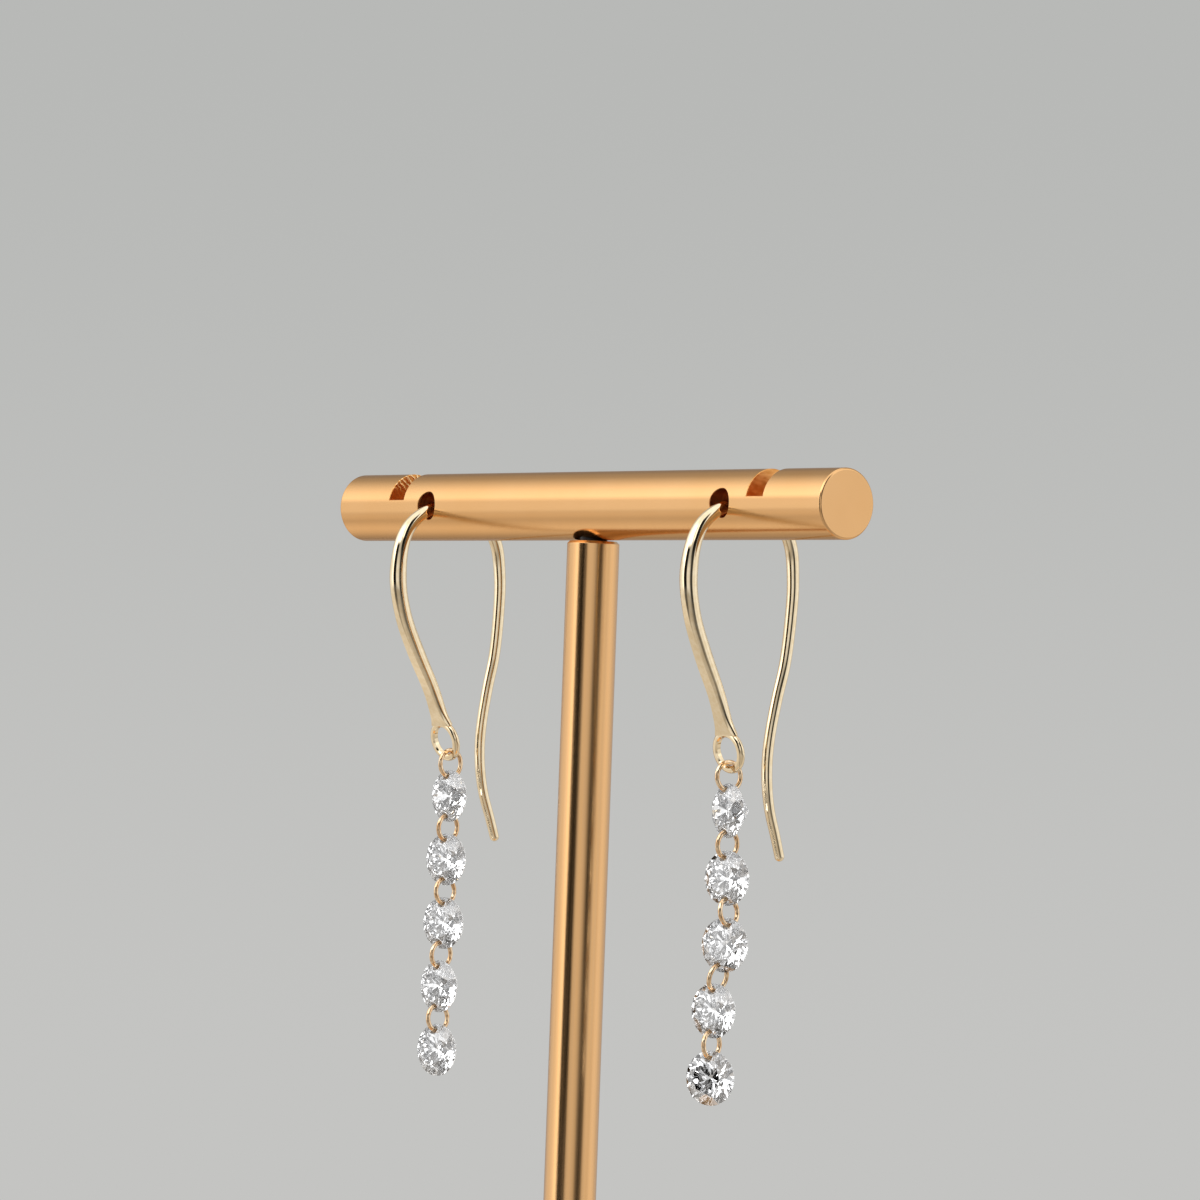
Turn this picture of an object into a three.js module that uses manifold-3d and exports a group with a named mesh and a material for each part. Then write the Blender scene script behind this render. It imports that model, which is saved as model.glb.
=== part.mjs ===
// A pair of drop earrings on their T-bar display stand.
// Each earring is a shepherd hook with five drilled brilliant-cut stones linked by jump rings.
// Millimetres, +Z up, the bar along X, the front towards -Y.
// The origin is the centre of the base's underside, where the stand meets the table.

import * as THREE from 'three';
import { mergeVertices } from 'three/addons/utils/BufferGeometryUtils.js';
import Module from 'manifold-3d';

const wasm = await Module();
wasm.setup();

// The stand
const STAND_HEIGHT = 95;
const BAR_LENGTH = 55;
const BAR_DIAMETER = 5;
const BAR_CHAMFER = 0.18;
const STEM_DIAMETER = 3.8;
const STEM_CHAMFER = 0.2;
const STUD_DIAMETER = 2;
const STUD_LENGTH = 2;
const SPIGOT_DIAMETER = 3;
const SPIGOT_LENGTH = 3;
const BASE_DIAMETER = 50;
const BASE_THICKNESS = 4.5;
const BASE_CHAMFER = 0.4;
// Between the parts of the stand, and at the blind end of a bore
const FIT_CLEARANCE = 0.05;
const BORE_RELIEF = 0.3;

// The two saw slots across the top of the bar
const SLOT_SPACING = 41;
const SLOT_WIDTH = 1.75;
const SLOT_DEPTH = 2.05;

// The two holes through the bar, and the hook's wire where it lies in them
const HOOK_SPACING = 33.6;
const WIRE_IN_BAR = 0.92;
const WIRE_SLOPE_IN_BAR = 26;
const CROWN_RISE = 0.52;
const HOLE_PLAY = 0.52;
const REST_GAP = 0.05;

// The hook: the wire's centreline stands this far off the bar, and hangs this far under its axis
const HOOK_STANDOFF = 2.38;
const HOOK_WIRE = 1.3;
const TAIL_DROP = 24.8;
const EYE_DROP = 17.4;
const EYE_SETBACK = 0.12;
const EYE_SLANT = 17;
const EYE_HOLE = 2.1;
const EYE_WALL = 0.525;
const EYE_THICKNESS = 0.52;
const EYE_EDGE = 0.08;
const NECK_WIDTH = 2;
// A hook's lean turns its legs about this depth, and is full from the other depth down
const LEAN_PIVOT_DROP = 2.3;
const LEAN_FULL_DROP = 5;

// The jump rings
const RING_WIRE = 0.34;
const RING_OUTSIDE = 2.25;
const TOP_RING_OUTSIDE = 2.35;
const RING_GAP = 0.03;

// The stones: a round brilliant, drilled near its edge
const STONE_DIAMETER = 3.84;
const TABLE_SHARE = 0.57;
const STAR_SHARE = 0.5;
const LOWER_HALF_SHARE = 0.77;
const CROWN_ANGLE = 34.5;
const PAVILION_ANGLE = 40.8;
const GIRDLE_THICKNESS = 0.13;
const DRILL_INSET = 0.45;
const DRILL_PLAY = 0.155;

// Facets of the meshes
const BAR_SIDES = 32;
const BASE_SIDES = 48;
const BORE_SIDES = 16;
const DRILL_SIDES = 10;
const WIRE_SIDES = 10;
const STEPS_PER_ROW = 2;
const TIP_STEPS = 3;
const EYE_SIDES = 24;
const RING_SIDES = 16;
const RING_WIRE_SIDES = 6;
const STONE_MAINS = 8;

// The front leg from the eye's neck up to the shoulder.
// out: share of the arch's half width. down: share of the eye's drop.
// wide and thick: shares of the wire. square: 0 for a round section, 1 for a squared one.
const FRONT_LEG = [
  { out: -0.100, down: 0.900, wide: 1.20, thick: 0.46, square: 0.8 },
  { out: -0.164, down: 0.855, wide: 0.98, thick: 0.49, square: 0.8 },
  { out: -0.291, down: 0.777, wide: 0.88, thick: 0.54, square: 0.8 },
  { out: -0.600, down: 0.626, wide: 0.92, thick: 0.68, square: 0.7 },
  { out: -0.867, down: 0.472, wide: 0.95, thick: 0.88, square: 0.4 },
  { out: -0.996, down: 0.303, wide: 1.00, thick: 1.00, square: 0 },
  { out: -0.870, down: 0.115, wide: 0.81, thick: 0.81, square: 0 },
];

// The back leg from the shoulder down to the tip, in shares of the tail's drop.
const BACK_LEG = [
  { out: 0.857, down: 0.093, wide: 0.74 },
  { out: 0.980, down: 0.200, wide: 0.69 },
  { out: 0.990, down: 0.294, wide: 0.67 },
  { out: 0.940, down: 0.440, wide: 0.65 },
  { out: 0.845, down: 0.531, wide: 0.63 },
  { out: 0.758, down: 0.640, wide: 0.61 },
  { out: 0.738, down: 0.712, wide: 0.61 },
  { out: 0.768, down: 0.784, wide: 0.60 },
  { out: 0.852, down: 0.856, wide: 0.58 },
  { out: 0.998, down: 0.928, wide: 0.56 },
  { out: 1.105, down: 0.985, wide: 0.54 },
];

// How each earring hangs. The leans of the hook's two legs are in degrees, and ringShift says how
// far along the bar the top ring sits from the eye's middle, as a share of the eye's hole. For
// each link and its stone, from the top down: their turn about the vertical and sideways lean.
const EARRINGS = [
  {
    name: 'left',
    side: -1,
    frontLean: 0,
    tailLean: 0.7,
    ringShift: 0.13,
    links: [
      { ringTurn: 4, ringLean: 0, stoneTurn: 3, stoneLean: 0 },
      { ringTurn: 6, ringLean: 2, stoneTurn: 11, stoneLean: 1 },
      { ringTurn: 7, ringLean: -2, stoneTurn: 12, stoneLean: 3 },
      { ringTurn: 5, ringLean: 3, stoneTurn: 6, stoneLean: 2 },
      { ringTurn: 4, ringLean: -2, stoneTurn: 10, stoneLean: 0 },
    ],
  },
  {
    name: 'right',
    side: 1,
    frontLean: 3.4,
    tailLean: 2.9,
    ringShift: -0.12,
    links: [
      { ringTurn: -5, ringLean: -2, stoneTurn: -6, stoneLean: -3 },
      { ringTurn: 4, ringLean: 3, stoneTurn: 13, stoneLean: -5 },
      { ringTurn: 11, ringLean: -7, stoneTurn: 16, stoneLean: 13 },
      { ringTurn: 11, ringLean: 12, stoneTurn: 12, stoneLean: 3 },
      { ringTurn: 14, ringLean: 0, stoneTurn: 20, stoneLean: 0 },
    ],
  },
];

// Sizes that follow from those above
const BAR_RADIUS = BAR_DIAMETER / 2;
const BAR_AXIS_HEIGHT = STAND_HEIGHT - BAR_RADIUS;
const STEM_TOP = BAR_AXIS_HEIGHT - BAR_RADIUS - FIT_CLEARANCE;
const HOOK_X = HOOK_SPACING / 2;
const WIRE_HEIGHT_IN_BAR = WIRE_IN_BAR / Math.cos(radians(WIRE_SLOPE_IN_BAR));
const HOOK_HOLE_DIAMETER = WIRE_HEIGHT_IN_BAR + CROWN_RISE + HOLE_PLAY;
const HOOK_REACH = BAR_RADIUS + HOOK_STANDOFF;
const EYE_OUTSIDE = EYE_HOLE + 2 * EYE_WALL;
const EYE_MIDDLE_RADIUS = (EYE_HOLE + EYE_WALL) / 2;
const STONE_RADIUS = STONE_DIAMETER / 2;
const TAN_CROWN = Math.tan(radians(CROWN_ANGLE));
const TAN_PAVILION = Math.tan(radians(PAVILION_ANGLE));

const copper = new THREE.MeshStandardMaterial({ color: 0xd9a066, metalness: 1, roughness: 0.35 });
const brightCopper = new THREE.MeshStandardMaterial({ color: 0xd0925a, metalness: 1, roughness: 0.2 });
const gold = new THREE.MeshStandardMaterial({ color: 0xe3c58c, metalness: 1, roughness: 0.12 });
const roseGold = new THREE.MeshStandardMaterial({ color: 0xdcae7c, metalness: 1, roughness: 0.12 });
const clearStone = new THREE.MeshStandardMaterial({
  color: 0xf2f4f6,
  metalness: 0,
  roughness: 0.03,
  flatShading: true,
});

function radians(degrees) {
  return THREE.MathUtils.degToRad(degrees);
}

// A closed geometry with shared vertices, as a solid that can be joined and cut.
function solidFrom(geometry) {
  const bare = new THREE.BufferGeometry();
  bare.setAttribute('position', geometry.getAttribute('position').clone());
  if (geometry.getIndex()) {
    bare.setIndex(geometry.getIndex().clone());
  }
  const merged = mergeVertices(bare, 1e-5);
  const mesh = new wasm.Mesh({
    numProp: 3,
    vertProperties: new Float32Array(merged.getAttribute('position').array),
    triVerts: new Uint32Array(merged.getIndex().array),
  });
  return new wasm.Manifold(mesh);
}

function geometryFrom(solid) {
  const mesh = solid.getMesh();
  const geometry = new THREE.BufferGeometry();
  geometry.setAttribute('position', new THREE.Float32BufferAttribute(mesh.vertProperties, 3));
  geometry.setIndex(Array.from(mesh.triVerts));
  geometry.computeVertexNormals();
  return geometry;
}

function piece(name, solid, material) {
  const mesh = new THREE.Mesh(geometryFrom(solid), material);
  mesh.name = name;
  return mesh;
}

// A turned shape about Z from its radius and height at each corner.
function turned(corners, sides) {
  const profile = corners.map(([radius, height]) => new THREE.Vector2(radius, height));
  const geometry = new THREE.LatheGeometry(profile, sides);
  geometry.rotateX(Math.PI / 2);
  return geometry;
}

// A drill: its flats, not its corners, lie at the given diameter.
function drill(diameter, length, sides) {
  const radius = diameter / 2 / Math.cos(Math.PI / sides);
  const geometry = new THREE.CylinderGeometry(radius, radius, length, sides);
  geometry.rotateX(Math.PI / 2);
  return geometry;
}

function crossbar() {
  const half = BAR_LENGTH / 2;
  const rod = turned([
    [0, -half],
    [BAR_RADIUS - BAR_CHAMFER, -half],
    [BAR_RADIUS, -half + BAR_CHAMFER],
    [BAR_RADIUS, half - BAR_CHAMFER],
    [BAR_RADIUS - BAR_CHAMFER, half],
    [0, half],
  ], BAR_SIDES);
  rod.rotateY(Math.PI / 2);
  let bar = solidFrom(rod);
  for (const side of [-1, 1]) {
    const hole = drill(HOOK_HOLE_DIAMETER, 2 * BAR_DIAMETER, BORE_SIDES);
    hole.rotateX(Math.PI / 2);
    hole.translate(side * HOOK_X, 0, 0);
    bar = bar.subtract(solidFrom(hole));
    const slot = new THREE.BoxGeometry(SLOT_WIDTH, 2 * BAR_DIAMETER, 2 * SLOT_DEPTH);
    slot.translate(side * SLOT_SPACING / 2, 0, BAR_RADIUS);
    bar = bar.subtract(solidFrom(slot));
  }
  const boreDepth = STUD_LENGTH + BORE_RELIEF;
  const bore = drill(STUD_DIAMETER + 2 * FIT_CLEARANCE, 2 * boreDepth, BORE_SIDES);
  bore.translate(0, 0, -BAR_RADIUS);
  bar = bar.subtract(solidFrom(bore));
  const mesh = piece('crossbar', bar, copper);
  mesh.position.z = BAR_AXIS_HEIGHT;
  return mesh;
}

// The stem stands on the base, with a spigot down into it and a stud up into the bar.
function stem() {
  const radius = STEM_DIAMETER / 2;
  const foot = BASE_THICKNESS + FIT_CLEARANCE;
  const rod = turned([
    [0, foot - SPIGOT_LENGTH],
    [SPIGOT_DIAMETER / 2, foot - SPIGOT_LENGTH],
    [SPIGOT_DIAMETER / 2, foot],
    [radius, foot],
    [radius, STEM_TOP - STEM_CHAMFER],
    [radius - STEM_CHAMFER, STEM_TOP],
    [STUD_DIAMETER / 2, STEM_TOP],
    [STUD_DIAMETER / 2, STEM_TOP + STUD_LENGTH],
    [0, STEM_TOP + STUD_LENGTH],
  ], BAR_SIDES);
  return piece('stem', solidFrom(rod), brightCopper);
}

function base() {
  const radius = BASE_DIAMETER / 2;
  const boreRadius = SPIGOT_DIAMETER / 2 + FIT_CLEARANCE;
  const boreFloor = BASE_THICKNESS - SPIGOT_LENGTH - BORE_RELIEF;
  const disc = turned([
    [0, 0],
    [radius - BASE_CHAMFER, 0],
    [radius, BASE_CHAMFER],
    [radius, BASE_THICKNESS - BASE_CHAMFER],
    [radius - BASE_CHAMFER, BASE_THICKNESS],
    [boreRadius, BASE_THICKNESS],
    [boreRadius, boreFloor],
    [0, boreFloor],
  ], BASE_SIDES);
  return piece('base', solidFrom(disc), copper);
}

// A place on a hook's leg, moved as its lean moves it: the wire in the bar stays where it rests.
function leaned(y, z, lean) {
  const angle = radians(lean) * Math.min(1, -z / LEAN_FULL_DROP);
  const below = z + LEAN_PIVOT_DROP;
  return {
    y: y * Math.cos(angle) + below * Math.sin(angle),
    z: below * Math.cos(angle) - y * Math.sin(angle) - LEAN_PIVOT_DROP,
  };
}

// The eye's frame in the hook's plane: its centre, its slant, and the way down along its face.
function eyeFrame(lean) {
  const slant = radians(EYE_SLANT - lean);
  const place = leaned(EYE_SETBACK, -EYE_DROP, lean);
  const centre = new THREE.Vector3(0, place.y, place.z);
  const down = new THREE.Vector3(0, Math.sin(slant), -Math.cos(slant));
  return { centre, slant, down };
}

// Every row of the hook's wire, from inside the eye over the crown to the tail's tip.
function wireRows(plan) {
  const mouth = REST_GAP + (WIRE_HEIGHT_IN_BAR - HOOK_HOLE_DIAMETER) / 2;
  const { centre, down } = eyeFrame(plan.frontLean);
  const neck = centre.clone().addScaledVector(down, -EYE_MIDDLE_RADIUS);
  const wireInBar = { wide: WIRE_IN_BAR, thick: WIRE_IN_BAR, square: 0 };
  const front = FRONT_LEG.map((row) => ({
    ...leaned(row.out * HOOK_REACH, -row.down * EYE_DROP, plan.frontLean),
    wide: row.wide * HOOK_WIRE,
    thick: row.thick * HOOK_WIRE,
    square: row.square,
  }));
  const back = BACK_LEG.map((row) => ({
    ...leaned(row.out * HOOK_REACH, -row.down * TAIL_DROP, plan.tailLean),
    wide: row.wide * HOOK_WIRE,
    thick: row.wide * HOOK_WIRE,
    square: 0,
  }));
  return [
    { y: neck.y, z: neck.z, wide: NECK_WIDTH, thick: EYE_THICKNESS, square: 0.8 },
    ...front,
    { y: -BAR_RADIUS, z: mouth, ...wireInBar },
    { y: 0, z: mouth + CROWN_RISE, ...wireInBar },
    { y: BAR_RADIUS, z: mouth, ...wireInBar },
    ...back,
  ];
}

// One closed ring of points round the wire: a circle that squares up as square grows.
function wireSection(centre, tangent, wide, thick, square) {
  const across = new THREE.Vector3(1, 0, 0);
  const outward = new THREE.Vector3().crossVectors(across, tangent).normalize();
  const power = 1 - 0.6 * square;
  const ring = [];
  for (let side = 0; side < WIRE_SIDES; side += 1) {
    const angle = (2 * Math.PI * side) / WIRE_SIDES;
    const cosine = Math.cos(angle);
    const sine = Math.sin(angle);
    const along = Math.sign(cosine) * Math.abs(cosine) ** power * wide / 2;
    const out = Math.sign(sine) * Math.abs(sine) ** power * thick / 2;
    ring.push(centre.clone().addScaledVector(across, along).addScaledVector(outward, out));
  }
  return ring;
}

// The sections along the wire, with a domed tip.
function wireSections(plan) {
  const rows = wireRows(plan);
  const points = rows.map((row) => new THREE.Vector3(0, row.y, row.z));
  const curve = new THREE.CatmullRomCurve3(points, false, 'centripetal');
  const spans = rows.length - 1;
  const sections = [];
  for (let step = 0; step <= spans * STEPS_PER_ROW; step += 1) {
    const place = step / STEPS_PER_ROW;
    const row = Math.min(Math.floor(place), spans - 1);
    const share = place - row;
    const mix = (key) => THREE.MathUtils.lerp(rows[row][key], rows[row + 1][key], share);
    const along = place / spans;
    const tangent = curve.getTangent(along);
    sections.push(wireSection(curve.getPoint(along), tangent, mix('wide'), mix('thick'), mix('square')));
  }
  const tip = rows[spans];
  const tipTangent = curve.getTangent(1);
  for (let step = 1; step < TIP_STEPS; step += 1) {
    const angle = (step / TIP_STEPS) * (Math.PI / 2);
    const centre = points[spans].clone().addScaledVector(tipTangent, Math.sin(angle) * tip.thick / 2);
    const width = tip.wide * Math.cos(angle);
    sections.push(wireSection(centre, tipTangent, width, width, 0));
  }
  return sections;
}

// A closed skin over a row of sections, with a fan over each end.
function skin(sections) {
  const positions = [];
  const faces = [];
  const sides = sections[0].length;
  for (const section of sections) {
    for (const point of section) {
      positions.push(point.x, point.y, point.z);
    }
  }
  for (let row = 0; row + 1 < sections.length; row += 1) {
    for (let side = 0; side < sides; side += 1) {
      const next = (side + 1) % sides;
      const a = row * sides + side;
      const b = row * sides + next;
      faces.push(a, a + sides, b, b, a + sides, b + sides);
    }
  }
  const last = (sections.length - 1) * sides;
  for (let side = 1; side + 1 < sides; side += 1) {
    faces.push(0, side, side + 1);
    faces.push(last, last + side + 1, last + side);
  }
  const geometry = new THREE.BufferGeometry();
  geometry.setAttribute('position', new THREE.Float32BufferAttribute(positions, 3));
  geometry.setIndex(faces);
  return geometry;
}

// The flat ring at the foot of the hook, its edges broken.
function eyeRing(lean) {
  const inner = EYE_HOLE / 2;
  const outer = EYE_OUTSIDE / 2;
  const half = EYE_THICKNESS / 2;
  const ring = turned([
    [inner + EYE_EDGE, -half],
    [outer - EYE_EDGE, -half],
    [outer, -half + EYE_EDGE],
    [outer, half - EYE_EDGE],
    [outer - EYE_EDGE, half],
    [inner + EYE_EDGE, half],
    [inner, half - EYE_EDGE],
    [inner, -half + EYE_EDGE],
    [inner + EYE_EDGE, -half],
  ], EYE_SIDES);
  const { centre, slant } = eyeFrame(lean);
  ring.rotateX(Math.PI / 2 + slant);
  ring.translate(centre.x, centre.y, centre.z);
  return ring;
}

// The eye's hole, cut last so that the neck doesn't stand in it.
function eyeBore(lean) {
  const bore = drill(EYE_HOLE, 2 * EYE_OUTSIDE, EYE_SIDES);
  const { centre, slant } = eyeFrame(lean);
  bore.rotateX(Math.PI / 2 + slant);
  bore.translate(centre.x, centre.y, centre.z);
  return bore;
}

function hookSolid(plan) {
  const wire = solidFrom(skin(wireSections(plan)));
  return wire.add(solidFrom(eyeRing(plan.frontLean))).subtract(solidFrom(eyeBore(plan.frontLean)));
}

function ringMiddleRadius(outside) {
  return (outside - RING_WIRE) / 2;
}

function ringSolid(outside) {
  const radius = ringMiddleRadius(outside);
  const torus = new THREE.TorusGeometry(radius, RING_WIRE / 2, RING_WIRE_SIDES, RING_SIDES);
  torus.rotateY(Math.PI / 2);
  return solidFrom(torus);
}

// How far the bent wire leaves a straight line inside the drilled hole.
function wireSagInStone() {
  const halfHole = GIRDLE_THICKNESS / 2 + DRILL_INSET * TAN_PAVILION;
  const radius = ringMiddleRadius(Math.min(RING_OUTSIDE, TOP_RING_OUTSIDE));
  return radius - Math.sqrt(radius * radius - halfHole * halfHole);
}

// Cuts a stone with a plane that falls away by slope at the given bearing.
// The plane meets the girdle's edge height at the given reach from the axis; up is 1 or -1.
function facet(stone, bearing, reach, slope, up) {
  const size = 4 * STONE_DIAMETER;
  const tool = new THREE.BoxGeometry(size, size, size);
  tool.translate(0, 0, size / 2);
  if (up < 0) {
    tool.rotateX(Math.PI);
  }
  tool.rotateY(up * slope);
  tool.translate(reach, 0, up * GIRDLE_THICKNESS / 2);
  tool.rotateZ(bearing);
  return stone.subtract(solidFrom(tool));
}

// The round brilliant, its table towards +Z: table, stars, mains and halves above the girdle,
// mains and halves below it. The slopes of the stars and halves follow from where facets meet.
function brilliant() {
  const step = (2 * Math.PI) / STONE_MAINS;
  const halfStep = step / 2;
  const quarterStep = step / 4;
  const tableCorner = TABLE_SHARE * STONE_RADIUS;
  const tableEdge = tableCorner * Math.cos(halfStep);
  const tableHeight = (STONE_RADIUS - tableCorner) * TAN_CROWN;
  const starTip = tableEdge + STAR_SHARE * (STONE_RADIUS - tableEdge);
  const starTipHeight = (STONE_RADIUS - starTip * Math.cos(halfStep)) * TAN_CROWN;
  const starSlope = Math.atan((tableHeight - starTipHeight) / (starTip - tableEdge));
  const starReach = tableEdge + tableHeight / Math.tan(starSlope);
  const halfReach = STONE_RADIUS * Math.cos(quarterStep);
  const upperSlope = Math.atan(starTipHeight / (halfReach - starTip * Math.cos(quarterStep)));
  const lowerTip = (1 - LOWER_HALF_SHARE) * STONE_RADIUS;
  const lowerTipDepth = (STONE_RADIUS - lowerTip * Math.cos(halfStep)) * TAN_PAVILION;
  const lowerSlope = Math.atan(lowerTipDepth / (halfReach - lowerTip * Math.cos(quarterStep)));

  const height = STONE_DIAMETER;
  const blank = new THREE.CylinderGeometry(STONE_RADIUS, STONE_RADIUS, height, 2 * STONE_MAINS);
  blank.rotateX(Math.PI / 2);
  let stone = solidFrom(blank);
  const table = new THREE.BoxGeometry(2 * STONE_DIAMETER, 2 * STONE_DIAMETER, height);
  table.translate(0, 0, GIRDLE_THICKNESS / 2 + tableHeight + height / 2);
  stone = stone.subtract(solidFrom(table));
  for (let main = 0; main < STONE_MAINS; main += 1) {
    const bearing = main * step;
    stone = facet(stone, bearing, STONE_RADIUS, radians(CROWN_ANGLE), 1);
    stone = facet(stone, bearing, STONE_RADIUS, radians(PAVILION_ANGLE), -1);
    stone = facet(stone, bearing + halfStep, starReach, starSlope, 1);
    for (const side of [-1, 1]) {
      stone = facet(stone, bearing + side * quarterStep, halfReach, upperSlope, 1);
      stone = facet(stone, bearing + side * quarterStep, halfReach, lowerSlope, -1);
    }
  }
  return stone;
}

// The stone upright, its table towards -Y, drilled at the top and, on request, at the bottom.
function drilledStone(bothEnds) {
  const diameter = RING_WIRE + wireSagInStone() + DRILL_PLAY;
  let stone = brilliant();
  for (const end of bothEnds ? [1, -1] : [1]) {
    const hole = drill(diameter, 2 * STONE_DIAMETER, DRILL_SIDES);
    hole.translate(0, end * (STONE_RADIUS - DRILL_INSET), 0);
    stone = stone.subtract(solidFrom(hole));
  }
  return stone.rotate([90, 0, 0]);
}

// Where the top ring's centre hangs from the leaning hook's eye.
function topRingCentre(plan) {
  const { centre, down } = eyeFrame(plan.frontLean);
  const across = plan.ringShift * EYE_HOLE;
  const reach = Math.sqrt(EYE_MIDDLE_RADIUS * EYE_MIDDLE_RADIUS - across * across);
  const wall = centre.clone().addScaledVector(down, reach);
  wall.x = across;
  const wallHalf = Math.hypot(EYE_WALL / 2 - EYE_EDGE, EYE_THICKNESS / 2);
  const inside = TOP_RING_OUTSIDE / 2 - RING_WIRE;
  wall.z -= inside - RING_GAP - wallHalf;
  return wall;
}

function turnedMesh(name, solid, material, turn, lean) {
  const mesh = piece(name, solid, material);
  mesh.rotation.order = 'ZYX';
  mesh.rotation.z = radians(turn);
  mesh.rotation.y = radians(lean);
  return mesh;
}

function upwards(mesh) {
  return new THREE.Vector3(0, 0, 1).applyEuler(mesh.rotation);
}

function earring(plan) {
  const group = new THREE.Group();
  group.position.set(plan.side * HOOK_X, 0, BAR_AXIS_HEIGHT);
  group.add(piece(`ear_hook_${plan.name}`, hookSolid(plan), gold));

  const holeFromCentre = STONE_RADIUS - DRILL_INSET;
  const wireOffset = wireSagInStone() / 2;
  let hangsFrom = null;
  plan.links.forEach((link, index) => {
    const number = index + 1;
    const first = index === 0;
    const last = number === plan.links.length;
    const outside = first ? TOP_RING_OUTSIDE : RING_OUTSIDE;
    const radius = ringMiddleRadius(outside);
    const ringName = `jump_ring_${plan.name}_${number}`;
    const ring = turnedMesh(ringName, ringSolid(outside), roseGold, link.ringTurn, link.ringLean);
    const ringUp = upwards(ring);
    if (first) {
      ring.position.copy(topRingCentre(plan));
    } else {
      ring.position.copy(hangsFrom).addScaledVector(ringUp, -radius);
    }
    group.add(ring);

    const stoneName = `stone_${plan.name}_${number}`;
    const stone = turnedMesh(stoneName, drilledStone(!last), clearStone, link.stoneTurn, link.stoneLean);
    const stoneUp = upwards(stone);
    const ringFoot = ring.position.clone().addScaledVector(ringUp, -radius);
    stone.position.copy(ringFoot).addScaledVector(stoneUp, wireOffset - holeFromCentre);
    group.add(stone);
    hangsFrom = stone.position.clone().addScaledVector(stoneUp, wireOffset - holeFromCentre);
  });
  return group;
}

const stand = new THREE.Group();
stand.add(base(), stem(), crossbar());
for (const plan of EARRINGS) {
  stand.add(earring(plan));
}

export default stand;
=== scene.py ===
# %% [markdown]
# Drop earrings on their T-bar stand
# The object is a pair of shepherd-hook earrings with five drilled round stones each, hung through
# the crossbar of a small turned metal stand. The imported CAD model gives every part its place.
# This lesson puts a finer piece over each CAD node: smooth turned metal, a flowing cast hook,
# soldered rings and cut stones, and then gives each its finish.

import math

import bmesh
import bpy
import numpy as np
from mathutils import Matrix, Vector


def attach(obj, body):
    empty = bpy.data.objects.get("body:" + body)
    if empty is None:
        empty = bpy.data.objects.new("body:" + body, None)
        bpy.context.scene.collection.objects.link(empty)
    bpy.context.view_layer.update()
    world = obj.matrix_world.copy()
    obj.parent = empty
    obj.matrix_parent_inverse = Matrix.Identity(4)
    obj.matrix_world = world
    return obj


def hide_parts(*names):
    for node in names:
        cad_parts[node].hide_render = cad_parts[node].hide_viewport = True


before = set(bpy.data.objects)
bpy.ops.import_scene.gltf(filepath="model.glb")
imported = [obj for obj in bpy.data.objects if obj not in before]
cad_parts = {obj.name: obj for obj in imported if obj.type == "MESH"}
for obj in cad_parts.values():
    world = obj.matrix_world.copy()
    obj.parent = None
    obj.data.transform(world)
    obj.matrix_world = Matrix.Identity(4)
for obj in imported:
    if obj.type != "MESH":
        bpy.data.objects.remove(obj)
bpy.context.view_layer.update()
MM = 0.001
print("CAD nodes:", len(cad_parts))

# %% [markdown]
# The camera
# A long lens stands a good half metre away, level with the crossbar and turned fifty degrees to
# the right of its front. The focal length and place were fitted to the outline of the bar, its
# holes and slots and the stem, so the picture lines up without any shift of the lens.

# %% The camera
PHOTO_SIDE = 1200
FOCAL_LENGTH_IN_PIXELS = 5954.5
SENSOR_WIDTH = 36
CAMERA_PLACE = Vector((334.21, -272.36, 76.54)) * MM
CAMERA_YAW = 50.739
CAMERA_PITCH = 1.218
CAMERA_ROLL = 2.067


def turn(degrees, axis):
    return Matrix.Rotation(math.radians(degrees), 4, axis)


camera_data = bpy.data.cameras.new("photo_camera")
camera_data.sensor_width = SENSOR_WIDTH
camera_data.lens = FOCAL_LENGTH_IN_PIXELS / PHOTO_SIDE * SENSOR_WIDTH
camera = bpy.data.objects.new("photo_camera", camera_data)
bpy.context.scene.collection.objects.link(camera)
camera.matrix_world = (
    Matrix.Translation(CAMERA_PLACE)
    @ turn(CAMERA_YAW, "Z")
    @ turn(90 + CAMERA_PITCH, "X")
    @ turn(CAMERA_ROLL, "Z")
)
bpy.context.scene.camera = camera
print("lens in mm:", round(camera_data.lens, 2))

# %% [markdown]
# Helpers for materials
# Every finish below is built from nodes. One small function adds a node with its settings and
# links, another feeds the inputs of a node that is there already, and a third turns the hex
# colours that people write down into the linear light that the shaders work in. The last one
# joins up what all finishes share: patterns that run the colour, the gloss and the relief. The
# standard view shows the colours as they are, without a film look.

# %% Helpers for nodes
bpy.context.scene.view_settings.view_transform = "Standard"
bpy.context.scene.view_settings.look = "None"
# A mix node has sockets for each kind of value, so its inputs go by their numbers.
SHARE = 0
NUMBER_A, NUMBER_B = 2, 3
COLOUR_A, COLOUR_B = 6, 7
SMOOTH = {"interpolation_type": "SMOOTHSTEP"}


def linear(hex_colour):
    channels = [int(hex_colour[start:start + 2], 16) / 255 for start in (1, 3, 5)]
    light = [c / 12.92 if c <= 0.04045 else ((c + 0.055) / 1.055) ** 2.4 for c in channels]
    return (*light, 1)


def feed(tree, node, inputs):
    """Each input gets a plain value, a socket, or the result of another node."""
    for name, value in inputs.items():
        if isinstance(value, bpy.types.Node):
            value = next(socket for socket in value.outputs if socket.enabled)
        if isinstance(value, bpy.types.NodeSocket):
            tree.links.new(value, node.inputs[name])
        else:
            node.inputs[name].default_value = value


def add_node(tree, kind, inputs=None, **settings):
    node = tree.nodes.new("ShaderNode" + kind)
    for name, value in settings.items():
        setattr(node, name, value)
    feed(tree, node, inputs or {})
    return node


print("view:", bpy.context.scene.view_settings.view_transform)

# %% Helpers for finishes
# Blender's noise mostly stays between these two values.
NOISE_SPREAD = {"From Min": 0.3, "From Max": 0.7}


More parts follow.
